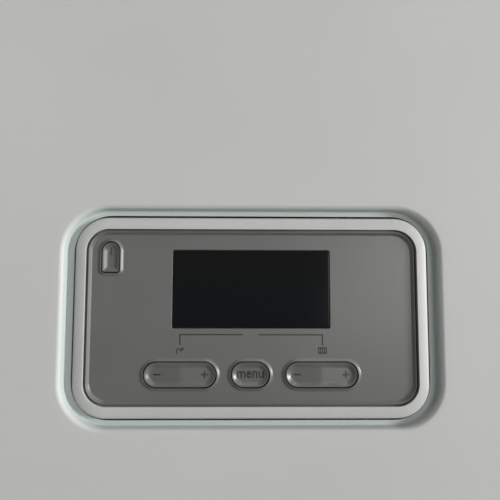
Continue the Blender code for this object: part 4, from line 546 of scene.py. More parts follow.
form = bmesh.new()
side = BEZEL_SKIRT + 0.3
groove_floor = CREST + BEZEL_THICK + 0.3
loops = stack(bezel_line, [(side, FACE + FACE_THICK), (side, groove_floor)])
loops += stack(rim_line, [(GROOVE, groove_floor)])
line = [(GROOVE + inset, depth - RIM_RISE) for inset, depth in roll(RIM_EDGE, 4)]
for share in (step / RIM_STEPS for step in range(RIM_STEPS + 1)):
    fallen = 0.95 * share + 0.05 * ease(share)
    line.append((GROOVE + RIM_EDGE + RIM_FLAT + RIM_SLOPE * share, RIM_RISE * (fallen - 1)))
line.append((line[-1][0] + 0.6, 0))
rings = [skin(form, loops + stack(rim_line, line, FACE))]
for name in KEYS:
    line = [(-KEY_GAP, FACE_THICK)]
    line += [(-KEY_GAP - inset, depth - COLLAR_RISE) for inset, depth in roll(COLLAR_ROUND, 5)]
    for share in (step / COLLAR_STEPS for step in range(1, COLLAR_STEPS + 1)):
        out = KEY_GAP + COLLAR_ROUND + (COLLAR_WIDTH - COLLAR_ROUND) * share
        line.append((-out, COLLAR_RISE * (climb(share) - 1)))
    line.append((-KEY_GAP - COLLAR_WIDTH - 0.4, 0))
    rings.append(skin(form, stack(lambda inset: key_line(name, inset), line, FACE)))
rebate = [(LEDGE, FACE_THICK), (LEDGE, WINDOW_SINK), (-0.3, WINDOW_SINK), (-0.3, 0.12), (-0.42, 0), (-0.9, 0)]
rings.append(skin(form, stack(window_line, rebate, FACE)))
fill(form, *(rows[-1] for rows in rings))
fill(form, *(rows[0] for rows in rings))
face = piece("face_tray", form, grey_abs, "panel_face")
print(f"face tray {len(face.data.polygons)} faces")

# %% [markdown]
# ## The keys
#
# A key is a cap with a thin edge and a dish for the fingertip. The dish drops 1.2 mm within 2.3 mm of the
# edge, steep enough to show one end of each key bright and the other dark. A rocker's floor rises from both
# ends to a low ridge across its middle, like a roof, which parts the two finger rests. Depth is a function
# of how far a point is from the edge and how far along the key, so rings drawn in carry the whole shape.

# %% Key caps
KEY_RISE = 0.45
KEY_EDGE = 0.3
KEY_DISH = 1.22
KEY_DISH_RUN = 2.3
KEY_BACK = 4.5
ROOF_RUN = 13.0
ROOF_RISE = 1.0
ROOF_ROUND = 0.9


def key_front(name, inset, x):
    """The depth of a key's front behind the panel's face, where it is drawn in by inset."""
    if inset < KEY_EDGE:
        share = 1 - inset / KEY_EDGE
        return -KEY_RISE + KEY_EDGE * (1 - (1 - share * share) ** 0.5)
    floor = KEY_DISH
    if name.endswith("rocker"):
        away = ((x - KEYS[name][0]) ** 2 + ROOF_ROUND**2) ** 0.5
        floor -= ROOF_RISE * max(1 - away / ROOF_RUN, 0.0)
    share = min((inset - KEY_EDGE) / KEY_DISH_RUN, 1.0)
    return -KEY_RISE + floor * (0.5 * share + 0.5 * ease(share))


RINGS = [0.0, 0.02, 0.06, 0.12, 0.2, 0.3, 0.5, 0.7, 0.95, 1.2, 1.45, 1.7, 1.95, 2.2, 2.45, 2.6, 2.8, 3.1]
WIDE_RINGS = [3.6, 4.2, 5.0]
WIDE_FROM = 4.6
for name, (x, z, width, height, along) in KEYS.items():
    form = bmesh.new()
    deepest = min(width, height) / 2
    insets = [inset for inset in RINGS if inset < deepest - 0.3]
    insets += (WIDE_RINGS if deepest > WIDE_FROM else []) + [deepest - 0.12]
    loops = [at(key_line(name, 0.0), FACE + KEY_BACK)]
    for inset in insets:
        ring = key_line(name, inset)
        loops.append([(p.x, FACE + key_front(name, inset, p.x - PANEL_X), p.y) for p in ring])
    rows = skin(form, loops)
    form.faces.new(rows[0])
    last = rows[-1]
    if name == "power_key":
        form.faces.new(last)
    else:
        for low in range(len(last) // 2 - 1):
            form.faces.new((last[low], last[low + 1], last[-low - 2], last[-low - 1]))
    cap = piece(name + "_cap", form, key_abs, name, name)
    print(f"{cap.name}: {len(cap.data.polygons)} faces")

# %% [markdown]
# ## The display window
#
# A plate of acrylic with a polished bevel of a fifth of a millimetre. It lies in its rebate, level with
# the face, and the bevel draws the hairline of light round it.

# %% Display window
BEVEL = 0.2
form = bmesh.new()
skin(form, stack(window_line, [(0, 1.2), *roll(BEVEL, 4), (BEVEL + 0.5, 0)], FACE), ends=True)
window = piece("display_window", form, window_glass, "display_lens")
print("window", tuple(round(side / MM, 1) for side in window.dimensions), "mm")

# %% [markdown]
# ## The printed marks
#
# Ink has a real thickness, so each mark is a thin plate of its own shape. Most of them are strokes of a
# pen: a line of points and a width give the outline. Each plate follows the surface it is printed on, also
# down into a key's dish. The symbols are common ones: a tap for hot water, a radiator for heating.

# %% Marks
INK_THICK = 0.05
INK_SUNK = 0.03
LINE = 0.6
SIGN_HALF, SIGN_THIN = 1.75, 0.38


def ribbon(points, width):
    """The outline of a pen stroke through points, mitred at its corners."""
    points = [Vector(point) for point in points]
    left, right = [], []
    for place, point in enumerate(points):
        before = points[place] - points[place - 1] if place else points[1] - points[0]
        after = points[place + 1] - point if place + 1 < len(points) else before
        ways = [Vector((-way.y, way.x)).normalized() for way in (before, after)]
        side = (ways[0] + ways[1]).normalized()
        side *= width / 2 / max(side.dot(ways[0]), 0.3)
        left.append(point + side)
        right.append(point - side)
    return left + right[::-1]


def on_key(name):
    """How deep the key's front is at a place on it, from how far the place is from the key's edge."""
    key_x, key_z, width, height, along = KEYS[name]
    radius = min(width, height) / 2

    def depth(x, z):
        across = max(abs(x - key_x) - (width / 2 - radius), 0.0)
        rise = max(z - (key_z + height / 2 - radius), 0.0) if name == "power_key" else z - key_z
        return key_front(name, radius - (across * across + rise * rise) ** 0.5, x)

    return depth


def printed(name, outlines, key=None):
    """Thin plates of ink with these outlines, on the face or on a key."""
    form = bmesh.new()
    surface = on_key(key) if key else lambda x, z: 0.0
    for outline in outlines:
        loops = []
        for lift in (INK_SUNK, -INK_THICK):
            loops.append([(PANEL_X + x, FACE + surface(x, z) + lift, PANEL_Z + z) for x, z in outline])
        skin(form, loops, ends=True)
    form.normal_update()
    bmesh.ops.triangulate(form, faces=form.faces)
    return piece(name, form, ink, body=key or "chassis", sharp=20)


printed("bracket_left", [ribbon([(-4.2, -8.65), (-34.9, -8.65), (-34.9, -13.6)], LINE)])
printed("bracket_right", [ribbon([(3.35, -8.7), (34.55, -8.7), (34.55, -13.8)], LINE)])
tap = [[(-36.4, -17.8), (-36.4, -16.0), (-35.9, -15.5), (-34.9, -15.5), (-34.1, -16.8)]]
tap += [[(-34.6, -16.3), (-33.3, -15.3)], [(-33.8, -14.8), (-33.0, -15.9)]]
printed("tap_symbol", [ribbon(points, 0.5) for points in tap])
bars = [[(32.7 + 0.92 * bar, -14.7), (32.7 + 0.92 * bar, -17.9)] for bar in range(5)]
rails = [[(32.5, level), (36.6, level)] for level in (-15.1, -17.5)]
printed("radiator_symbol", [ribbon(points, 0.42) for points in bars + rails])
quarter = [(SIGN_HALF, SIGN_THIN), (SIGN_THIN, SIGN_THIN), (SIGN_THIN, SIGN_HALF)]
cross, dash = [], []
for way_x, way_z in ((1, 1), (-1, 1), (-1, -1), (1, -1)):
    cross += [(a * way_x, b * way_z) for a, b in quarter[:: way_x * way_z]]
    dash.append((SIGN_HALF * way_x, SIGN_THIN * way_z))
for name, minus, plus in (("hot_water_rocker", -45.95, -22.9), ("heating_rocker", 22.25, 45.9)):
    level = KEYS[name][1]
    signs = [[(middle + a, level + b) for a, b in sign] for middle, sign in ((minus, dash), (plus, cross))]
    printed(name + "_signs", signs, name)
printed("power_mark", [ribbon([(-69.3, 30.2), (-69.3, 33.7)], 0.55)], "power_key")
print("signs on", len(KEYS), "keys, two symbols and two lines on the face")

# %% [markdown]
# ## The word on the middle key
#
# The middle key opens the menu, and says so in small letters. Blender's own letters are outlines, so the
# word is made as text, turned to a mesh and filled again, because thick letters overlap themselves where
# strokes meet. Then it is laid on the dish point by point.

# %% Word on the middle key
WORD_SIZE = (13.0, 3.5)
text = bpy.data.curves.new("menu_word", "FONT")
text.body = "menu"
text.offset = 0.020
text.resolution_u = 4
letters = stand("menu_letters", text)
bpy.context.view_layer.update()
flat = bpy.data.meshes.new_from_object(letters)
bpy.data.objects.remove(letters)
form = bmesh.new()
form.from_mesh(flat)
bpy.data.meshes.remove(flat)
bmesh.ops.remove_doubles(form, verts=form.verts, dist=0.0001)
form.verts.index_update()
rims = [[vertex.index for vertex in edge.verts] for edge in form.edges if edge.is_boundary]
drawn = [vertex.co.xy for vertex in form.verts]
places, _, triangles, *_ = delaunay_2d_cdt(drawn, rims, [], WITHOUT_HOLES, SAME_PLACE)
form.clear()
points = [form.verts.new((*place, 0)) for place in places]
for triangle in triangles:
    form.faces.new([points[number] for number in triangle])
spans = [(min(v.co[axis] for v in form.verts), max(v.co[axis] for v in form.verts)) for axis in (0, 1)]
depth_at = on_key("menu_key")
front = form.faces[:]
for vertex in form.verts:
    x, z = (
        middle + ((place - low) / (high - low) - 0.5) * size
        for middle, place, (low, high), size in zip(KEYS["menu_key"], vertex.co, spans, WORD_SIZE)
    )
    vertex.co = (PANEL_X + x, FACE + depth_at(x, z) - INK_THICK, PANEL_Z + z)
for part in bmesh.ops.extrude_face_region(form, geom=front)["geom"]:
    if isinstance(part, bmesh.types.BMVert):
        part.co.y += INK_THICK + INK_SUNK
word = piece("menu_word", form, ink, body="menu_key", sharp=20)
print(f"word {word.dimensions.x / MM:.1f} x {word.dimensions.z / MM:.1f} mm")

# %% [markdown]
# ## Metals
#
# Zinc-coated sheet keeps the crystals, or spangle, of its coat: patches about 7 mm across, each a little
# brighter or duller than the next, under a fine frost. Stainless steel is rolled, brass fittings are turned
# on a lathe, and both keep fine lines, real ones 0.1 mm apart and drawn near 1 mm so that they show. Copper
# tube is drawn and then dulls in patches. A metal mirrors its surroundings in its own colour, so metallic
# is 1 and the IOR stays.

# %% Metal finishes
def metal(name, slot, pale, deep, roughness, pitch, stretch=(1, 1, 1), relief=0.003):
    """A metal: two close tones and a spread of roughness in patches of this pitch, in millimetres, which
    can be stretched into lines."""
    material, shader, place = new_finish(name, slot)
    lay = add(material, "Mapping", {"Scale": stretch}, {"Vector": place})
    grain = add(material, "TexNoise", {"Scale": 1 / (pitch * MM), "Detail": 3.0}, {"Vector": lay})
    tone = add(material, "ValToRGB", {"stops": [(0.3, deep), (0.7, pale)]}, {"Fac": grain})
    spread = {"From Min": 0.3, "From Max": 0.7, "To Min": roughness * 0.8, "To Max": roughness * 1.25}
    rough = add(material, "MapRange", spread, {"Value": grain})
    bump = add(material, "Bump", {"Strength": 0.6, "Distance": relief * MM}, {"Height": grain})
    add(material, shader, {"Metallic": 1.0}, {"Base Color": tone, "Roughness": rough, "Normal": bump})
    return material


zinc, shader, place = new_finish("zinc_coated_sheet", "zinc_steel")
crystals = add(zinc, "TexVoronoi", {"Scale": 1 / (7 * MM), "Randomness": 0.9}, {"Vector": place})
facet = add(zinc, "SeparateColor", links={"Color": crystals.outputs["Color"]}).outputs["Red"]
frost = add(zinc, "TexNoise", {"Scale": 1 / (1.4 * MM), "Detail": 4.0}, {"Vector": place})
mixed = add(zinc, "Math", {"operation": "MULTIPLY_ADD", 1: 0.3}, {0: frost, 2: facet})
tone = add(zinc, "ValToRGB", {"stops": [(0.1, "#A3A8AB"), (1.0, "#B6BABD")]}, {"Fac": mixed})
spread = {"From Min": 0.1, "From Max": 1.1, "To Min": 0.36, "To Max": 0.50}
rough = add(zinc, "MapRange", spread, {"Value": mixed})
bump = add(zinc, "Bump", {"Strength": 0.5, "Distance": 0.01 * MM}, {"Height": mixed})
add(zinc, shader, {"Metallic": 1.0}, {"Base Color": tone, "Roughness": rough, "Normal": bump})
stainless = metal("rolled_stainless_steel", "stainless_steel", "#C3C4C5", "#AEAFB0", 0.30, 0.8, (1, 1, 0.05))
brass = metal("turned_brass", "brass_fitting", "#C9A961", "#BD9B52", 0.30, 0.9, (0.2, 0.2, 1), 0.0015)
copper = metal("drawn_copper_tube", "copper_pipe", "#C27B52", "#8E4E31", 0.32, 12.0)
print("metals:", zinc.name, stainless.name, brass.name, copper.name)

# %% [markdown]
# ## Other finishes inside the case
#
# Stove enamel on the expansion vessel is thick and glossy. The pump is grey iron, cast in sand and painted,
# which leaves a coarse skin. Foam is made of beads pressed together. The electric parts are polyamide or
# polycarbonate, wires have vinyl sleeves, and the boards are glass-filled epoxy under a green mask.

# %% Other finishes
enamel = moulded("red_stove_enamel", "tank_enamel", "#A82C24", "#9C241D", 0.22, 1.5, 0.010, 1.5)
iron = moulded("painted_cast_iron", "pump_iron", "#3B4341", "#2C3231", 0.55, 0.9, 0.12, 1.5)
foam = moulded("pressed_bead_foam", "jacket_foam", "#4D4F52", "#3D3F42", 0.85, 3.2, 0.30, 1.45)
moulded("extruded_rubber", "rubber", "#242426", "#1C1C1E", 0.62, 0.5, 0.006, 1.52)
black = moulded("black_glass_filled_nylon", "black_plastic", "#262728", "#1B1C1D", 0.42, 0.5, 0.010)
light = moulded("pale_polycarbonate", "light_plastic", "#DAD9D2", "#D0CFC8", 0.40, 0.5, 0.006, 1.58)
moulded("red_moulded_nylon", "red_plastic", "#BE2C22", "#AC221A", 0.38, 0.4, 0.006)
board = moulded("green_epoxy_board", "circuit_board", "#23663C", "#1B5530", 0.35, 1.2, 0.010, 1.55)
yellow = moulded("wound_coil_tape", "light_plastic", "#D8B23C", "#C49A2C", 0.45, 0.4, 0.006, 1.5)
brown = moulded("brown_vinyl", "rubber", "#6B4228", "#5C3822", 0.42, 0.5, 0.004)
blue = moulded("blue_vinyl", "rubber", "#2E5DA8", "#274F92", 0.42, 0.5, 0.004)

# %% [markdown]
# ## Finishing the solids that stay
#
# Where a solid's own shape is right, it stays and only takes a better finish. The record says which
# material slot each solid has, and the first finish made for that slot dresses it.

# %% Finishes for the solids
for part in frame["record"]["subparts"]:
    for slot in frame["nodes"][part["node"]].material_slots:
        slot.material = FINISHES[part["material_slot"]]

# %% [markdown]
# ## Turned, swept and boxed forms
#
# Behind the cover most pieces are turned on a lathe, bent from tube or moulded as boxes. So one helper turns
# a line round an axis, one carries a round section along a route with bends, one draws a straight tube, and
# one a box with rounded corners and a broken front edge. All give closed forms.

# %% Helpers for the inner pieces
PLANES = {"x": (1, 2, 0), "y": (0, 2, 1), "z": (0, 1, 2)}


def about(middle, axis, radius, angle, along=0.0, aside=0.0):
    """The place so far out from an axis through the middle, at an angle round it and so far along it."""
    across, up, onward = PLANES[axis]
    point = list(middle)
    point[across] += radius * cos(angle) - aside * sin(angle)
    point[up] += radius * sin(angle) + aside * cos(angle)
    point[onward] += along
    return point


def lathe(form, line, middle, axis="z", steps=72, closed=False):
    """Turns a line of (radius, along) round an axis through the middle. An open line gets flat ends."""
    angles = [2 * pi * step / steps for step in range(steps)]
    loops = [[about(middle, axis, radius, angle, along) for angle in angles] for radius, along in line]
    skin(form, loops, closed, ends=not closed)


def bent(corners, radius, steps=8):
    """A route through the corners, with an arc at each one between the ends."""
    corners = [Vector(corner) for corner in corners]
    route = [corners[0]]
    for before, corner, after in zip(corners, corners[1:], corners[2:]):
        back, ahead = (before - corner).normalized(), (after - corner).normalized()
        half = back.angle(ahead) / 2
        centre = corner + (back + ahead).normalized() * radius / sin(half)
        start = corner + back * radius / tan(half) - centre
        end = corner + ahead * radius / tan(half) - centre
        for step in range(steps + 1):
            turn = Matrix.Rotation(start.angle(end) * step / steps, 3, start.cross(end))
            route.append(centre + turn @ start)
    return route + [corners[-1]]


def hoop(point, radius, side, other, steps):
    """A ring of points round a place, in the plane of two directions."""
    angles = [2 * pi * step / steps for step in range(steps)]
    return [point + radius * (side * cos(angle) + other * sin(angle)) for angle in angles]


def sweep(form, route, radius, bore=0.0, steps=24):
    """Carries a round section along a route, hollow where a bore is given."""
    route = [Vector(point) for point in route]
    side = (route[1] - route[0]).orthogonal().normalized()
    outer, inner = [], []
    for place, point in enumerate(route):
        way = (route[min(place + 1, len(route) - 1)] - route[max(place - 1, 0)]).normalized()
        side = (side - way * side.dot(way)).normalized()
        outer.append(hoop(point, radius, side, way.cross(side), steps))
        inner.insert(0, hoop(point, bore, side, way.cross(side), steps))
    skin(form, outer + inner if bore else outer, closed=bore > 0, ends=not bore)


def tube(form, start, end, radius, bore, steps=32):
    """A straight tube with broken edges between two places."""
    start, end = Vector(start), Vector(end)
    way = (end - start).normalized() * 0.5
    side = way.orthogonal().normalized()
    other = way.normalized().cross(side)
    line = [(start, radius - 0.5), (start + way, radius), (end - way, radius), (end, radius - 0.5)]
    line += [(end, bore), (start, bore)]
    skin(form, [hoop(point, size, side, other, steps) for point, size in line], closed=True)


def box(form, x, y, z, radius=0.8, edge=0.4):
    """A box between pairs of places, with rounded corners and its front and rear edges broken."""

    def outline(inset):
        size = (x[1] - x[0] - 2 * inset, z[1] - z[0] - 2 * inset)
        return rounded(*size, radius - inset, (sum(x) / 2, sum(z) / 2), steps=3)

    line = [(edge, y[1]), (0, y[1] - edge), (0, y[0] + edge), (edge, y[0])]
    skin(form, stack(outline, line), ends=True)


def screw(form, x, y, z, radius):
    """A slotted screw head that faces the front: a disc with two half moons on it."""
    lathe(form, [(radius, 0), (radius, -0.5 * radius)], (x, y, z), "y", 20)
    top, reach = y - 0.5 * radius, 0.94 * radius
    angles = [0.15 + (pi - 0.3) * step / 10 for step in range(11)]
    for way in (-1, 1):
        moon = [(x + reach * cos(a), z + way * reach * max(sin(a), 0.16)) for a in angles]
        skin(form, [at(moon, depth) for depth in (top - 0.02, top - 0.2 * radius)], ends=True)


print("inner helpers ready")

# %% [markdown]
# ## Stems and pins behind the keys
#
# Behind each cap square stems reach back to the switches, and a rocker turns on a thin pin across its middle.
# Nobody sees them while the cover is on, but a key without them wouldn't work, so they are part of it.

# %% Key stems and pins
STEM_OUT = 12
STEM_HALF = 1.5
STEM_LONG = 6.0
for name, (x, z, *size) in KEYS.items():
    form = bmesh.new()
    (x, z), rear, rocker = spot(x, z), FACE + KEY_BACK, name.endswith("rocker")
    for middle in (x - STEM_OUT, x + STEM_OUT) if rocker else (x,):
        wide, high = ((value - STEM_HALF, value + STEM_HALF) for value in (middle, z))
        box(form, wide, (rear - 0.1, rear + STEM_LONG), high, 0.4, 0.2)
    if rocker:
        lathe(form, [(1.0, -8.3), (1.2, -8.1), (1.2, 8.1), (1.0, 8.3)], (x, FACE + 5, z), steps=20)
    piece(name + "_stems", form, key_abs, body=name)
print("stems behind", len(KEYS), "keys")

# %% [markdown]
# ## Water pipes
#
# Copper tube of 18 mm with a wall of 1 mm, bent cold round a former, so every bend is an even arc. The thin
# pipe to the expansion vessel is 10 mm. The solids give each route, and 24 sides make the tube look round.

# %% Pipes
PIPE_Y = -163.8
PIPE_WALL = 1.0
PIPES = {
    "flow_pipe": (9, 22, [(-134.3, PIPE_Y, 207), (-174.8, PIPE_Y, 207), (-174.8, PIPE_Y, -302)]),
    "pump_outlet_pipe": (
        *(9, 22),
        [(140, PIPE_Y, -172), (140, PIPE_Y, -124.5), (-69.3, PIPE_Y, -124.5), (-69.3, PIPE_Y, -90.5)],
    ),
    "expansion_pipe": (
        *(5, 12),
        [(45, -92.1, 142), (45, -112, 142), (45, -112, -323), (140, -112, -323), (140, -140.3, -323)],
    ),
}
for name, (radius, bend, corners) in PIPES.items():
    form = bmesh.new()
    sweep(form, bent(corners, bend), radius, radius - PIPE_WALL)
    made = piece(name + "_tube", form, copper, name)
    print(f"{made.name}: {len(made.data.polygons)} faces")

# %% [markdown]
# ## Insulating jacket, straps and flange bolts
#
# Two half shells of bead foam make the jacket, held by polyamide straps with a buckle. Its outer edges are
# rounded by the mould. Eight bolts on washers press the heater flange on its seal. Many pieces from here on
# are turned from one closed line, so that gets a function too.

# %% Jacket and bolts
TANK_AXIS = (-69.3, PIPE_Y, 0)
BOLTS = 8


def turned(name, line, finish, instead_of="", middle=TANK_AXIS, axis="z", steps=72, sharp=35):
    """A piece turned from one closed line of (radius, along)."""
    form = bmesh.new()
    lathe(form, line, middle, axis, steps, closed=True)
    return piece(name, form, finish, instead_of, sharp=sharp)


outer, bore, low, high, edge = 77.6, 55.3, -54.0, 180.0, 3.0
line = [(bore, low), (outer - edge, low)]
line += [(outer - edge + edge * sin(a), low + edge * (1 - cos(a))) for a in arc(5)[1:]]
line += [(outer - edge + edge * cos(a), high - edge + edge * sin(a)) for a in arc(5)]
turned("foam_jacket", line + [(bore, high)], foam, "insulating_jacket")
form = bmesh.new()
for level in (30.0, 88.0):
    strap = [(77.8, level), (78.9, level), (78.9, level + 14), (77.8, level + 14)]
    lathe(form, strap, TANK_AXIS, closed=True)
    box(form, (-80, -58), (-247.5, -243.2), (level - 2, level + 16), 1.5, 0.8)
piece("jacket_straps", form, black)
form = bmesh.new()
for bolt in range(BOLTS):
    foot = about(TANK_AXIS, "z", 65.5, (bolt + 0.5) * 2 * pi / BOLTS, 250.5)
    lathe(form, [(5.6, 0), (6.0, 0.3), (6.0, 1.0), (5.6, 1.2)], foot, steps=28)
    lathe(form, [(5.0, 1.3), (5.2, 1.5), (5.2, 4.6), (4.6, 5.1)], foot, steps=6)
piece("flange_bolts", form, zinc, sharp=25)
print("jacket, straps and", BOLTS, "bolts")

# %% [markdown]
# ## Heating vessel and its brackets
#
# The vessel is a stainless tube with a pressed bottom, a welded ring on top and a socket at its side. It is
# turned from one line that goes up the outside and down the inside, with a small weld bead under the ring.
# Two zinc-coated bands hold it, each pulled tight by a screw through two lugs in front.

# %% Heating vessel
bottom = [(43.5 * sin(a) + 11.5, -54.0 - 26.0 * cos(a)) for a in arc(10)]
inside = [(43.7 * sin(a) + 9.3, -54.0 - 24.0 * cos(a)) for a in arc(10)[::-1]]
line = [(11.5, -102.5), (11.5, -81.5), *bottom, (55.0, 229.0), (56.6, 229.6), (57.4, 231.0), (57.4, 232.0)]
line += [(71.4, 232.0), (72.0, 232.6), (72.0, 239.4), (71.4, 240.0), (53.0, 240.0), *inside, (9.3, -102.5)]
turned("vessel_shell", line, stainless, "exchanger_vessel", sharp=30)
form = bmesh.new()
for places, radius, bore in (((-146.3, -145.9, -123.0), 11.5, 9.3), ((-127.0, -123.5), 13.5, 0.0)):
    sweep(form, [(x, PIPE_Y, 207) for x in places], radius, bore, 32)
piece("vessel_side_port", form, stainless)
form = bmesh.new()
lathe(form, [(71.4, 240.3), (72.0, 240.9), (72.0, 249.7), (71.4, 250.3)], TANK_AXIS)
piece("flange_plate", form, stainless, "heater_flange", sharp=30)
for name, low in (("lower", -29.0), ("upper", 130.0)):
    form = bmesh.new()
    high = low + 25.0
    ring = [(78.3, low), (79.9, low), (80.3, low + 0.4), (80.3, high - 0.4), (79.9, high), (78.3, high)]
    lathe(form, ring, TANK_AXIS, closed=True)
    box(form, (-157.6, -148.6), (PIPE_Y, -1.8), (low, high))
    box(form, (-187.6, -157.0), (-3.8, -1.8), (low, high), 2.0, 0.3)
    for x in (-74.3, -66.3):
        box(form, (x, x + 2.0), (-257.0, -243.4), (low + 2, high - 2), 0.8, 0.3)
    piece(f"vessel_band_{name}", form, zinc, f"exchanger_bracket_{name}")
    form = bmesh.new()
    place = (-64.3, -251.0, low + 12.5)
    lathe(form, [(4.4, 0), (4.7, 0.4), (4.7, 3.4), (4.1, 3.9)], place, "x", 6)
    lathe(form, [(2.4, -16), (2.5, -15.6), (2.5, 0)], place, "x", 16)
    piece(f"band_screw_{name}", form, zinc, sharp=25)
print("vessel, port, flange and two bands")

# %% [markdown]
# ## Cap over the heater's terminals
#
# A moulded cap keeps fingers off the terminals. It has a rolled shoulder, ribs to grip it by, a shallow ring
# in its top and a gland where the heater's leads come out. The pump's motor has ribs as well, so they get a
# function.

# %% Heater cap
RIBS = 24


def ribs(form, section, span, middle, axis, first=0.0):
    """Ribs round an axis: a section of places out and aside, carried from one end of the span to the other."""
    for rib in range(RIBS):
        angle = (rib + first) * 2 * pi / RIBS
        skin(form, [[about(middle, axis, r, angle, end, s) for r, s in section] for end in span], ends=True)


form = bmesh.new()
line = [(40.0, 250.6), (40.0, 254.4), (39.5, 255.0), (39.0, 255.2), (38.8, 292.0)]
line += [(33.0 + 5.8 * cos(a), 292.6 + 6.0 * sin(a)) for a in arc(8)[1:]]
lathe(form, line + [(29.0, 298.6), (28.4, 297.8), (15.6, 297.8), (15.0, 298.6)], TANK_AXIS)
ribs(form, [(38.4, -0.9), (39.7, -0.6), (39.7, 0.6), (38.4, 0.9)], (254.8, 290.5), TANK_AXIS, "z")
piece("heater_cap", form, light, "element_cover")
gland = [(11.0, 298.7), (11.4, 299.1), (11.4, 304.2), (9.0, 305.4), (8.0, 307.6), (6.3, 308.0), (6.3, 298.7)]
turned("heater_cap_gland", gland, black, steps=40)
print("heater cap with", RIBS, "ribs")

# %% [markdown]
# ## Pump body and brass fittings
#
# The pump's body is cast iron, turned where it meets the motor, with a hexagon union at each port. The
# fittings are turned from brass bar: each is a tube with branches, and nuts hold it on the bottom plate.
# Their threads are 3 mm apart, coarser than the real 1.8 mm, so that they show.

# %% Pump body and fittings
PUMP_AXIS = (140, 0, -225)
BRANCH = (8.0, 5.0, 24)


def nut_round(form, x, low, high, across, bore):
    """A hexagon nut on an upright tube, its corners turned off."""
    line = [(across - 1.2, low), (across, low + 0.9), (across, high - 0.9), (across - 1.2, high)]
    lathe(form, line + [(bore, high), (bore, low)], (x, PIPE_Y, 0), steps=6, closed=True)


form = bmesh.new()
line = [(1.0, -141.8), (40.0, -141.8), (46.0, -143.8), (48.0, -148.0), (48.0, -185.3), (47.4, -185.8)]
line += [(43.0, -185.8), (43.0, -146.8), (1.0, -146.8)]
lathe(form, line, PUMP_AXIS, "y", closed=True)
for low, high, nut in ((-290, -270, -286), (-180, -160, -176)):
    tube(form, (140, PIPE_Y, low), (140, PIPE_Y, high), 15.0, 9.3)
    nut_round(form, 140, nut, nut + 12, 19.0, 14.6)
for angle in (pi / 4 + turn * pi / 2 for turn in range(4)):
    start, end = (about(PUMP_AXIS, "y", 45.5, angle, y) for y in (-186.0, -150.0))
    tube(form, start, end, 4.2, 1.0, 20)
piece("pump_volute", form, iron, "pump_body", sharp=30)

for name, node, x, top in (
    ("flow_union", "flow_connection", -174.8, -290),
    ("return_union", "return_connection", 140, -341.3),
):
    form = bmesh.new()
    tube(form, (x, PIPE_Y, -430), (x, PIPE_Y, top), 13.2, 9.3)
    threads = [*range(-428, -416, 3)]
    if name == "flow_union":
        tube(form, (-166.0, PIPE_Y, -323), (-134.3, PIPE_Y, -323), *BRANCH)
        threads = [*range(-330, -300, 3), *threads]
    for low in (-368.5, -380.3):
        nut_round(form, x, low, low + 10, 18.5, 13.0)
    for z in threads:
        crest = [(13.0, z), (13.7, z + 0.7), (13.7, z + 1.4), (13.0, z + 2.1)]
        lathe(form, crest, (x, PIPE_Y, 0), steps=32)
    piece(name, form, brass, node, sharp=30)
form = bmesh.new()
tube(form, (140, PIPE_Y, -341), (140, PIPE_Y, -290.3), 13.2, 9.3)
tube(form, (84.3, PIPE_Y, -323), (132.0, PIPE_Y, -323), *BRANCH)
tube(form, (140, -155.0, -323), (140, -140.6, -323), *BRANCH)
nut_round(form, 140, -340.5, -330.5, 16.5, 13.0)
piece("return_manifold_body", form, brass, "return_manifold", sharp=30)
line = [(6.5, -410.0), (9.0, -410.0), (9.5, -409.5), (9.5, -346.5), (12.4, -345.0), (14.0, -343.0)]
line += [(14.0, -331.0), (13.2, -330.0), (13.2, -318.0), (14.0, -317.0), (14.0, -302.0), (13.0, -301.0)]
line += [(3.3, -301.0), (3.3, -307.0), (6.5, -320.0)]
turned("safety_valve_body", line, brass, "safety_valve", (70, PIPE_Y, 0), steps=48, sharp=30)
print("pump body and four brass fittings")

# %% [markdown]
# ## Expansion vessel
#
# Two pressed steel shells, rolled together in a seam round the middle, with the water port in front. One
# line holds the outside and the inside, so the wall has its real 1.5 mm.

# %% Expansion vessel
SEAM = [(132.0, -45.6), (138.6, -45.2), (139.7, -44.2), (139.7, -37.4), (138.6, -36.4), (132.0, -36.0)]


def shell(radius, crown, front, rear, seam=()):
    """The line over a pressed shell, from its flat front round both crowns to its flat rear."""
    line = [(radius - crown + crown * sin(a), front + crown * (1 - cos(a))) for a in arc(8)]
    return line + [*seam] + [(radius - across, rear - down) for across, down in roll(crown, 8)]


line = [(9.0, -79.8), *shell(132.0, 20.0, -79.8, -1.8, SEAM), (1.0, -1.8), (1.0, -3.3)]
line += [*shell(130.5, 18.5, -78.3, -3.3)[::-1], (5.3, -78.3), (5.3, -91.8), (9.0, -91.8)]
vessel = turned("expansion_vessel_shells", line, enamel, "expansion_vessel", (45, 0, 142), "y", 96)
print(f"vessel {len(vessel.data.polygons)} faces")

# %% [markdown]
# ## Pump motor
#
# The motor's can is moulded round the stator. Ribs along it shed heat, a plate covers the front, and a brass
# screw in the middle lets air out and frees the shaft.

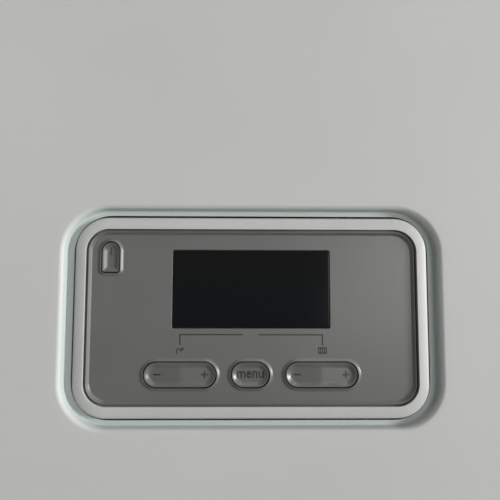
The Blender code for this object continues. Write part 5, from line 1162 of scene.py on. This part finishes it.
# %% Pump motor
line = [(8.0, -238.1), (8.0, -237.3), (30.0, -237.3), (30.0, -238.1), (37.0, -238.1)]
line += [(37.0 + 7.0 * sin(a), -238.1 + 7.0 * (1 - cos(a))) for a in arc(6)[1:]]
line += [(44.0, -194.4), (47.2, -194.1), (48.0, -193.3), (48.0, -186.1)]
line += [(4.3, -186.1), (4.3, -194.1), (18.8, -194.1), (18.8, -230.1), (4.3, -230.1), (4.3, -234.0)]
line += [(4.3, -234.05), (4.3, -236.2)]
turned("pump_motor_can", line, black, "pump_motor", PUMP_AXIS, "y")
form = bmesh.new()
ribs(form, [(44.2, -1.0), (46.8, -0.7), (46.8, 0.7), (44.2, 1.0)], (-229.0, -195.0), PUMP_AXIS, "y", 0.5)
piece("pump_motor_ribs", form, black)
ring = [(9.0, -237.0), (29.5, -237.0), (29.5, -237.7), (9.0, -237.7)]
turned("pump_rating_plate", ring, stainless, "", PUMP_AXIS, "y", 64)
form = bmesh.new()
screw(form, 140, -236.4, -225, 6.5)
piece("pump_vent_screw", form, brass)
print("pump dressed")

# %% [markdown]
# ## Contactors
#
# Each heating element has its contactor: a moulded case in three steps, with screw terminals above and
# below, a dark slide in front that shows whether it has pulled in, and a blank label.

# %% Contactors
CASE = [(1.0, -139.3), (1.0, -166.4), (0.98, -167.2), (0.85, -167.2), (0.85, -177.0), (0.83, -177.7)]
CASE += [(0.55, -177.7), (0.55, -200.3), (0.53, -201.3)]
screws, slides, labels = bmesh.new(), bmesh.new(), bmesh.new()
for number, middle in enumerate((62.25, 107.75, 153.2), 1):
    form = bmesh.new()
    skin(form, [at(rounded(43.6, 75 * share, 1.0, (middle, 255), steps=3), y) for share, y in CASE], ends=True)
    piece(f"contactor_case_{number}", form, light, f"contactor_{number}", sharp=25)
    for x in (-14, 0, 14):
        for way in (-1, 1):
            screw(screws, middle + x, -167.5, 255 + way * 34.6, 2.3)
            screw(screws, middle + x, -178.0, 255 + way * 26.2, 3.2)
    box(slides, (middle - 5, middle + 5), (-202.3, -201.5), (258, 270), 0.8, 0.3)
    box(labels, (middle - 15, middle + 15), (-201.9, -201.5), (238, 251), 0.6, 0.1)
piece("contactor_screws", screws, zinc)
piece("contactor_slides", slides, black)
piece("contactor_labels", labels, pale_abs)
print("three contactors with", 3 * 12, "screws")

# %% [markdown]
# ## Power board
#
# The board is glass-filled epoxy with copper tracks under a green mask. On it stand three relays, a small
# transformer with its yellow coil, capacitors with shiny cans, connectors, a chip and a finned heat sink.

# %% Power board
BOARD_Y = -141.7
form = bmesh.new()
box(form, (37.8, 177.7), (-141.4, -139.8), (32.6, 184.9), 2.0, 0.2)
box(form, (58.2, 70.2), (-153.0, -141.3), (32.6, 44.5), 0.6, 0.3)
piece("power_board_plate", form, board, "power_board")
relays, pale, cans, sink, coil = (bmesh.new() for part in range(5))
for x in (58.7, 86.7, 114.8):
    box(relays, (x - 9.5, x + 9.5), (-160.5, BOARD_Y), (122, 164), 1.0, 0.6)
box(relays, (96, 116), (-145.2, BOARD_Y), (76, 96), 0.5, 0.3)
box(relays, (137, 166), (-160, BOARD_Y), (124, 154), 0.6, 0.3)
box(coil, (142, 161), (-168.5, -160.3), (129, 149), 1.5, 0.6)
for x in (131, 142, 153):
    box(pale, (x, x + 9), (-153.5, BOARD_Y), (64, 80), 0.5, 0.3)
for x in (50, 61, 72):
    box(pale, (x - 4, x + 4), (-152, BOARD_Y), (169, 180), 0.5, 0.3)
for x, z, radius, tall in ((136, 105, 8, 24), (155, 105, 8, 24), (84, 60, 5, 14), (97, 60, 5, 14)):
    side = [(radius - 0.4, 0), (radius, -0.6), (radius, -2.0), (radius - 0.5, -2.6), (radius, -3.2)]
    lathe(cans, side + [(radius, 0.8 - tall), (radius - 0.8, -tall)], (x, BOARD_Y, z), "y", 48)
for x in range(50, 71, 3):
    box(sink, (x, x + 1.4), (-156.0, BOARD_Y), (62, 104), 0.5, 0.2)
box(sink, (49, 71), (-143.2, BOARD_Y), (106, 112), 0.6, 0.3)
for x in (43.7, 171.8):
    for z in (38.5, 179):
        screw(sink, x, -141.5, z, 3.0)
piece("board_relays", relays, black)
piece("board_connectors", pale, light)
piece("board_capacitors", cans, stainless)
piece("board_heat_sink", sink, zinc)
piece("transformer_coil", coil, yellow)
print("power board dressed")

# %% [markdown]
# ## Terminals and wires
#
# The supply's block has two screws for each pole. Brown wires go up the left of the plate to the contactors
# and blue ones up the right, each bent round a finger where it turns.

# %% Terminals and wires
form = bmesh.new()
for pole in range(5):
    for level in (-25.5, -14.5):
        screw(form, 67.7 + 20.0 * pole, -168.0, level, 3.6)
piece("terminal_screws", form, brass)
WIRES = {
    "brown_wires": (brown, (48.25, 24.5, 67.7), (93.75, 28.5, 87.7), (139.2, 32.5, 107.7)),
    "blue_wires": (blue, (167.2, 190.5, 147.7), (121.75, 186.5, 132.0), (76.25, 182.5, 127.0)),
}
for name, (finish, *wires) in WIRES.items():
    form = bmesh.new()
    for turn, (start, x, end) in enumerate(wires):
        level, foot = 207 - 4.2 * turn, 6 + 4.2 * turn
        corners = [(start, -150, 217.2), (start, -150, level), (start, -137, level), (x, -137, level)]
        corners += [(x, -137, foot), (end, -137, foot), (end, -137, 0.3)]
        sweep(form, bent(corners, 2.6, 5), 1.5, steps=12)
    piece(name, form, finish)
print("terminals and wires laid")

# %% [markdown]
# ## Light
#
# The photograph's light is a soft window well to the right, 65 degrees off the cover's normal and nearly
# level: slopes that face it shine and their far sides are dark. A broad, dim wall to the right of the camera
# lights the front, and a ceiling the slopes that look up. Each is a far lamp with a wide angle, so that its
# shadows have soft edges, and together they light the flat cover to about its written colour. Two fills
# stand behind the cover's plane for the sides and the back, so the front isn't changed.

# %% Lamps
KEY_SIDE = radians(65)
KEY_RISEN = radians(5)
WALL_SIDE = radians(26)


def lamp(name, toward, level, spread, tint="#FFFFFF"):
    """A far soft lamp, so many degrees wide, that lights a white card held square to it to this level."""
    data = bpy.data.lights.new(name, "SUN")
    data.angle = radians(spread)
    data.energy = level * pi
    data.color = linear(tint)[:3]
    stand(name, data).rotation_euler = (-Vector(toward)).to_track_quat("-Z", "Y").to_euler()


window_way = Vector((sin(KEY_SIDE), -cos(KEY_SIDE), tan(KEY_RISEN)))
lamp("window_light", window_way, 1.14, 15, "#FFFFFD")
lamp("bright_wall", (sin(WALL_SIDE), -cos(WALL_SIDE), -0.05), 0.33, 32)
lamp("left_fill", (-1, 0.35, 0.4), 0.45, 30)
lamp("back_fill", (0.2, 1, 0.4), 0.50, 30)
lamp("ceiling", (0.30, -0.42, 0.85), 0.27, 40)
print(f"window light lies {degrees(window_way.angle(Vector((0, -1, 0)))):.0f} degrees off the normal")

# %% [markdown]
# ## Room and floor
#
# The world's light and what a mirror or the camera sees of it are two things. Light Path parts them: rays
# that light a surface get the room's faint level, and rays from the camera, from a gloss or through glass
# see a pale studio. The floor is a plain pale sheet, and keeps the shadow.

# %% World and floor
ROOM_LEVEL = 0.02
FLOOR_HALF = 4

world = bpy.data.worlds.new("room")
bpy.context.scene.world = world
world.use_nodes = True
world.node_tree.nodes.clear()
rays = add(world, "LightPath").outputs
room = add(world, "Background", {"Color": linear("#FFFFFF"), "Strength": ROOM_LEVEL})
studio = add(world, "Background", {"Color": linear("#E4E5E4")})
either = add(world, "Math", {"operation": "MAXIMUM"}, {0: rays["Is Camera Ray"], 1: rays["Is Glossy Ray"]})
seen = add(world, "Math", {"operation": "MAXIMUM"}, {0: either, 1: rays["Is Transmission Ray"]})
mixer = add(world, "MixShader", links={0: seen, 1: room, 2: studio})
add(world, "OutputWorld", links={"Surface": mixer})

paper, shader, place = new_finish("studio_floor_paper")
fibre = add(paper, "TexNoise", {"Scale": 1 / 0.02, "Detail": 3.0}, {"Vector": place})
tone = add(paper, "ValToRGB", {"stops": [(0.3, "#DADAD8"), (0.7, "#DCDCDA")]}, {"Fac": fibre})
add(paper, shader, {"Roughness": 0.9}, {"Base Color": tone})
mesh = bpy.data.meshes.new("floor")
ways = ((-1, -1), (1, -1), (1, 1), (-1, 1))
corners = [(x * FLOOR_HALF, y * FLOOR_HALF, cad_low.z - 0.5 * MM) for x, y in ways]
mesh.from_pydata(corners, [], [range(4)])
mesh.materials.append(paper)
stand("floor", mesh)
bpy.context.scene.view_settings.view_transform = "Standard"
print("room level", ROOM_LEVEL)
